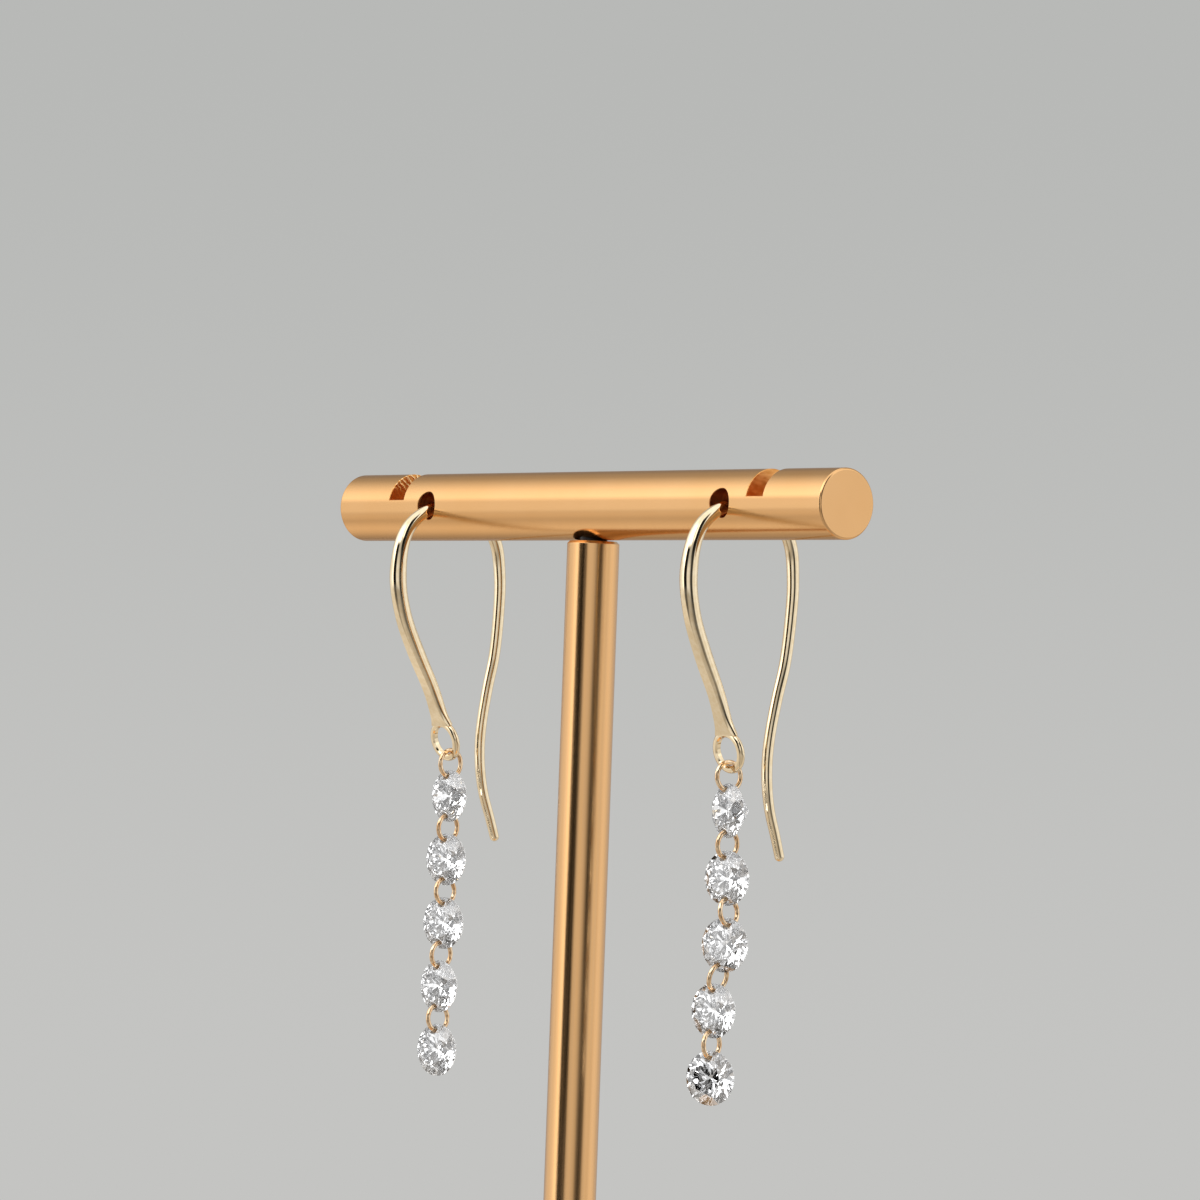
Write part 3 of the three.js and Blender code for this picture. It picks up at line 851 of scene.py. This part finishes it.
def bar_normal(place, index, face_normal):
    """The exact normal of the bar's surface at a place on a turned, drilled or sawn face."""
    radial = Vector((0, place.y, place.z)).normalized()
    if index == TURNED:
        past_end = max(0.0, abs(place.x) - BAR_LENGTH / 2 + BAR_CHAMFER)
        past_flat = max(0.0, math.hypot(place.y, place.z) - BAR_RADIUS + BAR_CHAMFER)
        end = Vector((math.copysign(1, place.x), 0, 0))
        return (end * past_end + radial * past_flat).normalized()
    if index == DRILLED and abs(place.x) > STUD_RADIUS * 2:
        centre = math.copysign(HOOK_X, place.x)
        wall = Vector((centre - place.x, 0, -place.z)).normalized()
        tilt = face_normal.dot(radial)
        return (wall + radial).normalized() if tilt > AT_THE_RIM else wall
    return face_normal


def crossbar_mesh():
    half = BAR_LENGTH / 2
    corners = [(0, -half), (BAR_RADIUS, -half), (BAR_RADIUS, half), (0, half)]
    mesh, _ = turned_mesh("bar", corners, BAR_CHAMFER, BAR_SIDES)
    mesh.transform(turn(90, "Y"))
    for side in (-1, 1):
        mesh = joined(mesh, hole_cutter(side * HOOK_X), "DIFFERENCE")
        mesh = joined(mesh, slot_cutter(side * SLOT_X), "DIFFERENCE")
        for edge in (-1, 1):
            mesh = joined(mesh, lip_cutter(side * SLOT_X, edge), "DIFFERENCE")
    mesh = joined(mesh, bore_cutter(), "DIFFERENCE")
    mesh.polygons.foreach_set("use_smooth", [True] * len(mesh.polygons))
    normals = [None] * len(mesh.loops)
    for face in mesh.polygons:
        for loop in face.loop_indices:
            place = mesh.vertices[mesh.loops[loop].vertex_index].co
            normals[loop] = bar_normal(place, face.material_index, face.normal)
    mesh.normals_split_custom_set(normals)
    mesh.transform(Matrix.Translation((0, 0, BAR_AXIS_HEIGHT)))
    return mesh


bar_mesh = crossbar_mesh()
dress(bar_mesh, (bar_satin, drilled_metal, chattered_metal, sawn_metal))
bar = add_piece(bar_mesh, "bar_turned_and_cut", "crossbar")
bar.visible_transmission = False
print("crossbar faces:", len(bar_mesh.polygons))

# %% [markdown]
# The stem and the base
# Both are plain turned parts, with a stud up into the bar and a spigot down into the base.

# %% The stem and the base
STEM_SIDES = 128
BASE_SIDES = 192
SMALL_ROUND = 0.05
PLATED, PAINTED_SHADE = 0, 1


def stem_mesh():
    foot = BASE_THICKNESS + FIT_CLEARANCE
    return turned_mesh("stem", [
        (0, foot - SPIGOT_LENGTH),
        (SPIGOT_RADIUS, foot - SPIGOT_LENGTH),
        (SPIGOT_RADIUS, foot),
        (STEM_RADIUS, foot),
        (STEM_RADIUS, STEM_TOP - STEM_CHAMFER),
        (STEM_RADIUS - STEM_CHAMFER, STEM_TOP),
        (STUD_RADIUS, STEM_TOP),
        (STUD_RADIUS, STEM_TOP + STUD_LENGTH),
        (0, STEM_TOP + STUD_LENGTH),
    ], SMALL_ROUND, STEM_SIDES)


def base_mesh():
    bore = SPIGOT_RADIUS + FIT_CLEARANCE
    bore_floor = BASE_THICKNESS - SPIGOT_LENGTH - BORE_RELIEF
    return turned_mesh("base", [
        (0, 0),
        (BASE_RADIUS, 0),
        (BASE_RADIUS, BASE_THICKNESS),
        (bore, BASE_THICKNESS),
        (bore, bore_floor),
        (0, bore_floor),
    ], BASE_CHAMFER / 2, BASE_SIDES)


for (mesh, normals), name, node, slot, finishes in (
    (stem_mesh(), "stem_drawn_rod", "stem", "stand_drawn", (stem_drawn, painted_shade_at_stem_top)),
    (base_mesh(), "base_turned_disc", "base", "stand_satin", (base_satin,)),
):
    mesh.normals_split_custom_set_from_vertices(normals)
    for face in mesh.polygons:
        # Faces at the stem's top take the near-black painted shade.
        at_the_top = face.center.z > STEM_TOP - OVERSHOOT
        face.material_index = PAINTED_SHADE if at_the_top else PLATED
    dress(mesh, finishes)
    turned = add_piece(mesh, name, node)
    turned.visible_transmission = False
    print(name, "faces:", len(mesh.polygons))

# %% [markdown]
# The gold
# The hooks are cast in yellow gold and buffed to a mirror. Buffing leaves a faint waviness and
# hardly any haze, so the roughness is very low. The jump rings are bent from drawn wire of a
# slightly rosier gold and soldered shut. Their colour runs in brown and pale stretches, which is
# a painted reflection.

# %% The gold
def mirror_gold(name, dark, bright, roughness, wave, wave_depth):
    """Gold with patches of haze and of colour, and waves of a length and a depth in millimetres.
    Where the two colours lie far apart, the colour patches are a painted reflection.
    """
    material, tree, shader = new_material(name)
    place = in_millimetres(tree)
    waviness = add_node(tree, "TexNoise", {"Vector": place, "Scale": 1 / wave, "Detail": 1.0})
    # The haze, and with it the colour, comes and goes every third of a millimetre.
    haze = add_node(tree, "TexNoise", {"Vector": place, "Scale": 3.0, "Detail": 4.0})
    haze_tone_and_painted_reflection = add_node(tree, "MapRange", {"Value": haze, **CLEAR_SPREAD}, **SMOOTH)
    wire_finish(
        tree, shader,
        colour=(haze_tone_and_painted_reflection, dark, bright),
        gloss=(haze, *roughness),
        relief=(waviness, 0.3, wave_depth),
        more={"Metallic": 1},
    )
    return material


hook_gold = mirror_gold("buffed_yellow_gold", "#E9D4AF", "#F0DEBD", (0.02, 0.04), 1.4, 0.006)
# The ring's brown and pale cream lie far apart, so its colour patches are a painted reflection of the
# dark and bright parts of the room.
ring_gold_painted_reflection = mirror_gold("polished_rose_gold_wire_painted_reflection", "#D4AC80", "#F2DAB8", (0.0, 0.02), 0.6, 0.001)
print("gold:", hook_gold.name, ring_gold_painted_reflection.name)

# %% [markdown]
# The hooks
# Each hook is one casting. A round wire rises from a flat eye, turns through the bar, and runs
# down behind it to a free, tapered tail. On the way down to the eye the front of the wire was
# filed flat, and the flat widens until it becomes the eye's face. A sweep follows the same rows
# as the CAD source, smoothed so that its curvature never jumps, because a mirror would show it.

# %% The hook's sizes
HOOK_REACH = BAR_RADIUS + 2.38
HOOK_WIRE = 1.3
TAIL_DROP = 24.8
EYE_DROP = 17.4
EYE_SETBACK = 0.12
EYE_SLANT = 17
EYE_HOLE = 2.1
EYE_WALL = 0.525
EYE_THICKNESS = 0.52
LEAN_PIVOT_DROP = 2.3
LEAN_FULL_DROP = 5
EYE_MIDDLE_RADIUS = (EYE_HOLE + EYE_WALL) / 2

# The neck flares into the eye: height over the eye's centre, width and thickness in millimetres.
NECK = [(1.2, 2.24, 0.514), (1.36, 2.08, 0.518), (1.52, 1.9, 0.54)]
NECK_FLAT = 0.85
# Each row is out, down, wide, thick, and the share of the width that is filed flat. Out is in
# reaches, down in drops, and both sizes in wires.
FRONT_LEG = [
    (-0.100, 0.900, 1.26, 0.475, 0.80),
    (-0.164, 0.855, 1.06, 0.61, 0.72),
    (-0.291, 0.777, 0.96, 0.68, 0.68),
    (-0.600, 0.626, 0.97, 0.80, 0.60),
    (-0.867, 0.472, 0.95, 0.88, 0.42),
    (-0.996, 0.303, 1.00, 1.00, 0.00),
    (-0.870, 0.115, 0.81, 0.81, 0.00),
]
# Each row is out, down and wide.
BACK_LEG = [
    (0.857, 0.093, 0.74),
    (0.980, 0.200, 0.69),
    (0.990, 0.294, 0.67),
    (0.940, 0.440, 0.65),
    (0.845, 0.531, 0.63),
    (0.758, 0.640, 0.61),
    (0.738, 0.712, 0.61),
    (0.768, 0.784, 0.60),
    (0.852, 0.856, 0.58),
    (0.998, 0.928, 0.56),
    (1.105, 0.985, 0.54),
]
# For each link from the top down: the turn and the lean of its ring, then those of its stone.
EARRINGS = [
    {"name": "left", "side": -1, "front_lean": 0, "tail_lean": 0.7, "ring_shift": 0.13,
     "links": [(4, 0, 3, 0), (6, 2, 11, 1), (7, -2, 12, 3), (5, 3, 6, 2), (4, -2, 10, 0)]},
    {"name": "right", "side": 1, "front_lean": 3.4, "tail_lean": 2.9, "ring_shift": -0.12,
     "links": [(-5, -2, -6, -3), (4, 3, 13, -5), (11, -7, 16, 13), (11, 12, 12, 3), (14, 0, 20, 0)]},
]
print("leg rows:", len(FRONT_LEG), "in front and", len(BACK_LEG), "behind")


# %% The hook's rows
def leaned(y, z, lean):
    """A place on a leg, moved as its lean moves it."""
    angle = math.radians(lean) * min(1, -z / LEAN_FULL_DROP)
    below = z + LEAN_PIVOT_DROP
    moved_y = y * math.cos(angle) + below * math.sin(angle)
    moved_z = below * math.cos(angle) - y * math.sin(angle) - LEAN_PIVOT_DROP
    return moved_y, moved_z


def eye_frame(lean):
    slant = math.radians(EYE_SLANT - lean)
    centre = Vector((0, *leaned(EYE_SETBACK, -EYE_DROP, lean)))
    down = Vector((0, math.sin(slant), -math.cos(slant)))
    return centre, slant, down


def wire_rows(plan):
    """Rows of y, z, wide, thick, flat from the eye's neck over the crown to the tail's tip."""
    mouth = REST_GAP + WIRE_HEIGHT_IN_BAR / 2 - HOLE_RADIUS
    centre, _, down = eye_frame(plan["front_lean"])
    rows = []
    for height_over_eye, wide, thick in NECK:
        neck = centre - down * height_over_eye
        rows.append((neck.y, neck.z, wide, thick, NECK_FLAT))
    for out, drop, wide, thick, flat in FRONT_LEG:
        y, z = leaned(out * HOOK_REACH, -drop * EYE_DROP, plan["front_lean"])
        rows.append((y, z, wide * HOOK_WIRE, thick * HOOK_WIRE, flat))
    for y, z in ((-BAR_RADIUS, mouth), (0, mouth + CROWN_RISE), (BAR_RADIUS, mouth)):
        rows.append((y, z, WIRE_IN_BAR, WIRE_IN_BAR, 0))
    for out, drop, wide in BACK_LEG:
        y, z = leaned(out * HOOK_REACH, -drop * TAIL_DROP, plan["tail_lean"])
        rows.append((y, z, wide * HOOK_WIRE, wide * HOOK_WIRE, 0))
    return np.array(rows)


print("rows in a hook:", len(wire_rows(EARRINGS[0])))

# %% A smooth run through the rows
SAMPLES_PER_ROW = 40
SWEEP_STEP = 0.12
SMOOTHING = 0.35


def centripetal_run(rows):
    """A centripetal spline through the rows' places, with the sizes mixed evenly between rows."""
    places = rows[:, :2]
    padded = np.vstack([2 * places[0] - places[1], places, 2 * places[-1] - places[-2]])
    run = []
    for number in range(len(rows) - 1):
        p0, p1, p2, p3 = padded[number:number + 4]
        d0, d1, d2 = (np.linalg.norm(b - a) ** 0.5 for a, b in ((p0, p1), (p1, p2), (p2, p3)))
        start = ((p1 - p0) / d0 - (p2 - p0) / (d0 + d1) + (p2 - p1) / d1) * d1
        end = ((p2 - p1) / d1 - (p3 - p1) / (d1 + d2) + (p3 - p2) / d2) * d1
        for step in range(SAMPLES_PER_ROW):
            t = step / SAMPLES_PER_ROW
            place = (
                p1 + start * t + (3 * (p2 - p1) - 2 * start - end) * t ** 2
                + (2 * (p1 - p2) + start + end) * t ** 3
            )
            sizes = rows[number, 2:] * (1 - t) + rows[number + 1, 2:] * t
            run.append(np.concatenate([place, sizes]))
    run.append(rows[-1])
    return np.array(run)


def evenly_spaced(run, step):
    lengths = np.linalg.norm(np.diff(run[:, :2], axis=0), axis=1)
    along = np.concatenate([[0], np.cumsum(lengths)])
    count = int(round(along[-1] / step)) + 1
    wanted = np.linspace(0, along[-1], count)
    return np.stack([np.interp(wanted, along, column) for column in run.T], axis=1)


def smoothed(run, step, width):
    """A Gaussian average along the run that leaves its two ends in place."""
    reach = int(3 * width / step)
    offsets = np.arange(-reach, reach + 1)
    weights = np.exp(-0.5 * (offsets * step / width) ** 2)
    weights /= weights.sum()
    before = 2 * run[0] - run[reach:0:-1]
    after = 2 * run[-1] - run[-2:-reach - 2:-1]
    longer = np.vstack([before, run, after])
    return np.stack([np.convolve(column, weights, "valid") for column in longer.T], axis=1)


left_run = evenly_spaced(centripetal_run(wire_rows(EARRINGS[0])), SWEEP_STEP)
print("length of the left wire in mm:", round((len(left_run) - 1) * SWEEP_STEP, 1))

# %% The hook's section
FACE_STEPS = 10
SIDE_STEPS = 16
WIDEST_CORNER = 0.4
TIP_STEPS = 10


def wire_section(wide, thick, flat):
    """Across and out for one ring round the wire: an ellipse whose front and back are filed flat."""
    half_wide, half_thick = wide / 2, thick / 2
    bulge = half_thick / math.sqrt(1 - flat ** 2)
    corner = math.acos(max(flat, WIDEST_CORNER))
    angles = list(np.linspace(-corner, corner, SIDE_STEPS, endpoint=False))
    angles += list(np.linspace(corner, math.pi - corner, FACE_STEPS, endpoint=False))
    angles += list(np.linspace(math.pi - corner, math.pi + corner, SIDE_STEPS, endpoint=False))
    angles += list(np.linspace(math.pi + corner, 2 * math.pi - corner, FACE_STEPS, endpoint=False))
    across = [half_wide * math.cos(angle) for angle in angles]
    out = [max(-half_thick, min(half_thick, bulge * math.sin(angle))) for angle in angles]
    return across, out


def tip_steps(tip):
    """Shares of the size and places ahead of the last row, for a domed end."""
    for step in range(1, TIP_STEPS):
        angle = step / TIP_STEPS * math.pi / 2
        yield math.cos(angle), math.sin(angle) * tip / 2


def wire_mesh(plan):
    run = evenly_spaced(centripetal_run(wire_rows(plan)), SWEEP_STEP)
    run = smoothed(run, SWEEP_STEP, SMOOTHING)
    tangents = np.gradient(run[:, :2], axis=0)
    tangents /= np.linalg.norm(tangents, axis=1)[:, None]
    stations = [(row[:2], tangent, *row[2:]) for row, tangent in zip(run, tangents)]
    last, ahead = run[-1], tangents[-1]
    for share, distance in tip_steps(last[2]):
        stations.append((last[:2] + ahead * distance, ahead, last[2] * share, last[3] * share, 0))
    rows = []
    for place, tangent, wide, thick, flat in stations:
        outward = (-tangent[1], tangent[0])
        across, out = wire_section(wide, thick, max(0, flat))
        rows.append([
            (x, place[0] + outward[0] * v, place[1] + outward[1] * v) for x, v in zip(across, out)
        ])
    return skinned("hook_wire", rows)


# %% The hook's eye
EYE_SIDES = 96
EYE_ROUND = 0.11
EYE_OUTER_ROUND = 0.3
EYE_ARC_STEPS = 14
BORE_TUCK = 0.002
BORE_ROUND = 0.02


def eye_section():
    """The wall of the eye as (radius, height): a half round outside, small rounds at the hole."""
    inner, outer, half = EYE_HOLE / 2, EYE_HOLE / 2 + EYE_WALL, EYE_THICKNESS / 2
    section = []
    for step in range(EYE_ARC_STEPS + 1):
        angle = math.pi * (step / EYE_ARC_STEPS - 0.5)
        reach = outer - EYE_OUTER_ROUND + EYE_OUTER_ROUND * math.cos(angle)
        section.append((reach, half * math.sin(angle)))
    for up in (1, -1):
        for step in range(ARC_STEPS + 1):
            angle = math.pi / 2 * (step / ARC_STEPS if up == 1 else 1 - step / ARC_STEPS)
            reach = inner + EYE_ROUND - EYE_ROUND * math.sin(angle)
            section.append((reach, up * (half - EYE_ROUND + EYE_ROUND * math.cos(angle))))
    return section


def set_at_eye(mesh, lean):
    centre, slant, _ = eye_frame(lean)
    mesh.transform(Matrix.Translation(centre) @ turn(90 + math.degrees(slant), "X"))
    return mesh


def eye_mesh(lean):
    rows = []
    for cosine, sine in spokes(EYE_SIDES):
        rows.append([(reach * cosine, reach * sine, level) for reach, level in eye_section()])
    return set_at_eye(skinned("eye", rows, close_rows=True), lean)


def eye_bore_mesh(lean):
    """Clears the neck out of the eye's hole, and flares with the small rounds at its rims."""
    inner, half = EYE_HOLE / 2 - BORE_TUCK, EYE_THICKNESS / 2
    wide, reach = inner + EYE_ROUND, 2 * EYE_THICKNESS
    mesh, _ = turned_mesh("eye_bore", [
        (0, -reach),
        (wide, -reach),
        (wide, -half),
        (inner, -half + EYE_ROUND),
        (inner, half - EYE_ROUND),
        (wide, half),
        (wide, reach),
        (0, reach),
    ], BORE_ROUND, EYE_SIDES)
    return set_at_eye(mesh, lean)


print("points round the eye's wall:", len(eye_section()))


# %% Shading by the angle between faces
def crease(mesh, degrees):
    """Smooth shading, but every edge that bends more than the angle stays crisp."""
    shape = bmesh.new()
    shape.from_mesh(mesh)
    for face in shape.faces:
        face.smooth = True
    for edge in shape.edges:
        edge.smooth = len(edge.link_faces) == 2 and edge.calc_face_angle() < math.radians(degrees)
    shape.to_mesh(mesh)
    shape.free()


# %% Both hooks
HOOK_CREASE = 24


def hook_mesh(plan):
    mesh = joined(wire_mesh(plan), eye_mesh(plan["front_lean"]), "UNION")
    mesh = joined(mesh, eye_bore_mesh(plan["front_lean"]), "DIFFERENCE")
    crease(mesh, HOOK_CREASE)
    # Weighted normals follow the larger faces, so the filed flats mirror as flats.
    mesh = modified(mesh, "WEIGHTED_NORMAL", keep_sharp=True)
    mesh.transform(Matrix.Translation((plan["side"] * HOOK_X, 0, BAR_AXIS_HEIGHT)))
    return mesh


for plan in EARRINGS:
    mesh = hook_mesh(plan)
    dress(mesh, (hook_gold,))
    name = f"hook_cast_{plan['name']}"
    add_piece(mesh, name, f"ear_hook_{plan['name']}")
    print(name, "faces:", len(mesh.polygons))

# %% [markdown]
# The stones
# Each stone is a colourless round brilliant: a table, eight stars, eight mains and sixteen halves
# above the girdle, and eight mains and sixteen halves below it. A stone cutter grinds one flat
# after another, and so does this: each facet is a plane that slices the blank. The slopes of the
# stars and halves follow from the points where facets have to meet. A laser then drilled the
# holes that carry the rings.

# %% The stone's sizes
RING_WIRE = 0.34
RING_OUTSIDE = 2.25
TOP_RING_OUTSIDE = 2.35
RING_GAP = 0.03
EYE_EDGE = 0.08
STONE_RADIUS = 1.92
TABLE_SHARE = 0.57
STAR_SHARE = 0.5
LOWER_HALF_SHARE = 0.77
CROWN_ANGLE = 34.5
PAVILION_ANGLE = 40.8
GIRDLE_THICKNESS = 0.13
DRILL_INSET = 0.45
DRILL_PLAY = 0.155
STONE_MAINS = 8
BLANK_SIDES = 96


def ring_middle_radius(outside):
    return (outside - RING_WIRE) / 2


def wire_sag_in_stone():
    half_hole = GIRDLE_THICKNESS / 2 + DRILL_INSET * math.tan(math.radians(PAVILION_ANGLE))
    radius = ring_middle_radius(RING_OUTSIDE)
    return radius - math.sqrt(radius ** 2 - half_hole ** 2)


DRILL_RADIUS = (RING_WIRE + wire_sag_in_stone() + DRILL_PLAY) / 2
print("drilled hole in mm:", round(2 * DRILL_RADIUS, 3))

# %% Where the facets meet
MAIN_STEP = 2 * math.pi / STONE_MAINS


def facet_plan():
    """The table's height, and the facets of one eighth as bearing, reach, slope and side."""
    half_step, quarter_step = MAIN_STEP / 2, MAIN_STEP / 4
    crown_slope, pavilion_slope = math.radians(CROWN_ANGLE), math.radians(PAVILION_ANGLE)
    table_corner = TABLE_SHARE * STONE_RADIUS
    table_edge = table_corner * math.cos(half_step)
    table_height = (STONE_RADIUS - table_corner) * math.tan(crown_slope)
    star_tip = table_edge + STAR_SHARE * (STONE_RADIUS - table_edge)
    star_tip_height = (STONE_RADIUS - star_tip * math.cos(half_step)) * math.tan(crown_slope)
    star_slope = math.atan((table_height - star_tip_height) / (star_tip - table_edge))
    star_reach = table_edge + table_height / math.tan(star_slope)
    half_reach = STONE_RADIUS * math.cos(quarter_step)
    upper_slope = math.atan(star_tip_height / (half_reach - star_tip * math.cos(quarter_step)))
    lower_tip = (1 - LOWER_HALF_SHARE) * STONE_RADIUS
    lower_tip_depth = (STONE_RADIUS - lower_tip * math.cos(half_step)) * math.tan(pavilion_slope)
    lower_slope = math.atan(lower_tip_depth / (half_reach - lower_tip * math.cos(quarter_step)))
    facets = [
        (0, STONE_RADIUS, crown_slope, 1),
        (0, STONE_RADIUS, pavilion_slope, -1),
        (half_step, star_reach, star_slope, 1),
    ]
    for side in (-1, 1):
        facets.append((side * quarter_step, half_reach, upper_slope, 1))
        facets.append((side * quarter_step, half_reach, lower_slope, -1))
    return table_height, facets


print("facets of a stone:", 1 + STONE_MAINS * len(facet_plan()[1]))

# %% Grinding the facets
FACET, GROUND = 0, 1
UPRIGHT = 0.1


def grind(stone, bearing, reach, slope, up):
    """Slices the stone with a plane through the girdle's edge height at the given reach."""
    tilt = Vector((math.sin(slope), 0, up * math.cos(slope)))
    point = Vector((reach, 0, up * GIRDLE_THICKNESS / 2))
    spin = Matrix.Rotation(bearing, 3, "Z")
    slice_off(stone, spin @ point, spin @ tilt)


def brilliant_mesh():
    table_height, facets = facet_plan()
    stone = bmesh.new()
    bmesh.ops.create_cone(
        stone, cap_ends=True, segments=BLANK_SIDES, depth=2 * STONE_RADIUS,
        radius1=STONE_RADIUS, radius2=STONE_RADIUS,
    )
    slice_off(stone, Vector((0, 0, GIRDLE_THICKNESS / 2 + table_height)), Vector((0, 0, 1)))
    for main in range(STONE_MAINS):
        for bearing, reach, slope, up in facets:
            grind(stone, main * MAIN_STEP + bearing, reach, slope, up)
    bmesh.ops.recalc_face_normals(stone, faces=stone.faces)
    for face in stone.faces:
        face.material_index = GROUND if abs(face.normal.z) < UPRIGHT else FACET
    mesh = bpy.data.meshes.new("brilliant")
    stone.to_mesh(mesh)
    stone.free()
    return mesh


# %% Drilling and standing the stone
DRILL_SIDES = 32


def drilled_stone_mesh(ends):
    """The stone upright, its table to the front, drilled at its top and perhaps its bottom."""
    mesh = brilliant_mesh()
    for end in ends:
        shift = end * (STONE_RADIUS - DRILL_INSET)
        circle = [(DRILL_RADIUS * x, DRILL_RADIUS * y + shift) for x, y in spokes(DRILL_SIDES)]
        rows = [[(x, y, depth) for x, y in circle] for depth in (-2 * STONE_RADIUS, 2 * STONE_RADIUS)]
        mesh = joined(mesh, skinned("drill", rows, GROUND), "DIFFERENCE")
    mesh.transform(turn(90, "X"))
    return mesh


stone_shapes = {True: drilled_stone_mesh((1, -1)), False: drilled_stone_mesh((1,))}
print("stone faces:", len(stone_shapes[True].polygons), len(stone_shapes[False].polygons))

# %% [markdown]
# The stone's finish
# The stones are diamond, ground flat and polished on an oiled wheel. Nothing bends light more
# among clear stones, so each facet mirrors another part of the room, and the black and white
# pattern comes from the cut itself. The girdle is only ground, and the laser leaves the walls of
# the holes alike, so both look a little frosted and bright.

# %% The stone's finish
DIAMOND_IOR = 2.417


def diamond_finish(name, roughness, clearness, tint):
    material, tree, shader = new_material(name)
    # The crystal's tint drifts very slightly over less than a millimetre.
    growth = add_node(tree, "TexNoise", {
        "Vector": in_millimetres(tree), "Scale": 1.5, "Detail": 3.0,
    })
    wire_finish(tree, shader, colour=(growth, tint, "#FFFFFF"), more={
        "Roughness": roughness, "Transmission Weight": clearness, "IOR": DIAMOND_IOR,
    })
    return material


polished_diamond = diamond_finish("polished_diamond", 0.0, 1.0, "#FCFDFF")
ground_diamond = diamond_finish("ground_diamond", 0.4, 0.5, "#F8F8F8")
print("diamond:", polished_diamond.name, ground_diamond.name)

# %% [markdown]
# The chains
# Each ring hangs in the hole above it and each stone hangs on its ring, so the places follow from
# one another down the chain, with a small turn and lean for each as gravity left them. The rings
# and the stand are kept out of what the stones bend, which leaves them clear of orange specks.

# %% The rings
RING_SIDES = 96
RING_WIRE_SIDES = 24
RING_CREASE = 60


def ring_mesh(outside):
    """A wire ring in the YZ plane, round the X axis."""
    radius = ring_middle_radius(outside)
    rows = []
    for y, z in spokes(RING_SIDES):
        row = []
        for out, across in spokes(RING_WIRE_SIDES):
            point = Vector((0, y, z)) * (radius + RING_WIRE / 2 * out)
            point.x = RING_WIRE / 2 * across
            row.append(point)
        rows.append(row)
    mesh = skinned("ring", rows, close_rows=True)
    crease(mesh, RING_CREASE)
    return mesh


# %% Hanging the chains
def top_ring_centre(plan):
    centre, _, down = eye_frame(plan["front_lean"])
    across = plan["ring_shift"] * EYE_HOLE
    wall = centre + down * math.sqrt(EYE_MIDDLE_RADIUS ** 2 - across ** 2)
    wall.x = across
    wall_half = math.hypot(EYE_WALL / 2 - EYE_EDGE, EYE_THICKNESS / 2)
    wall.z -= TOP_RING_OUTSIDE / 2 - RING_WIRE - RING_GAP - wall_half
    return wall


def attitude(turned, lean):
    """A turn about the plumb line after a lean to the side, and the direction that is then up."""
    matrix = turn(turned, "Z") @ turn(lean, "Y")
    return matrix, matrix.to_3x3() @ Vector((0, 0, 1))


def hang_chain(plan):
    origin = Vector((plan["side"] * HOOK_X, 0, BAR_AXIS_HEIGHT))
    hole_from_centre = STONE_RADIUS - DRILL_INSET
    wire_offset = wire_sag_in_stone() / 2
    for number, (ring_turn, ring_lean, stone_turn, stone_lean) in enumerate(plan["links"], 1):
        outside = TOP_RING_OUTSIDE if number == 1 else RING_OUTSIDE
        radius = ring_middle_radius(outside)
        ring_attitude, ring_up = attitude(ring_turn, ring_lean)
        centre = top_ring_centre(plan) if number == 1 else hangs_from - ring_up * radius
        ring = ring_mesh(outside)
        ring.transform(Matrix.Translation(origin + centre) @ ring_attitude)
        dress(ring, (ring_gold_painted_reflection,))
        label = f"{plan['name']}_{number}"
        wire = add_piece(ring, f"ring_wire_{label}", f"jump_ring_{label}")
        wire.visible_transmission = False

        stone_attitude, stone_up = attitude(stone_turn, stone_lean)
        from_hole = stone_up * (wire_offset - hole_from_centre)
        stone_centre = centre - ring_up * radius + from_hole
        stone = stone_shapes[number < len(plan["links"])].copy()
        stone.transform(Matrix.Translation(origin + stone_centre) @ stone_attitude)
        dress(stone, (polished_diamond, ground_diamond))
        add_piece(stone, f"stone_cut_{label}", f"stone_{label}")
        hangs_from = stone_centre + from_hole
    return number


for plan in EARRINGS:
    print(plan["name"], "links:", hang_chain(plan))

# %% [markdown]
# Bounces
# Light turns back many times inside a cut stone before it leaves. With too few bounces allowed
# those paths would end in black, and the stones would look sooty at their rims.

# %% Bounces
MOST_BOUNCES = 9
cycles = bpy.context.scene.cycles
cycles.max_bounces = MOST_BOUNCES
cycles.transmission_bounces = MOST_BOUNCES
cycles.glossy_bounces = MOST_BOUNCES
print("bounces:", cycles.max_bounces)
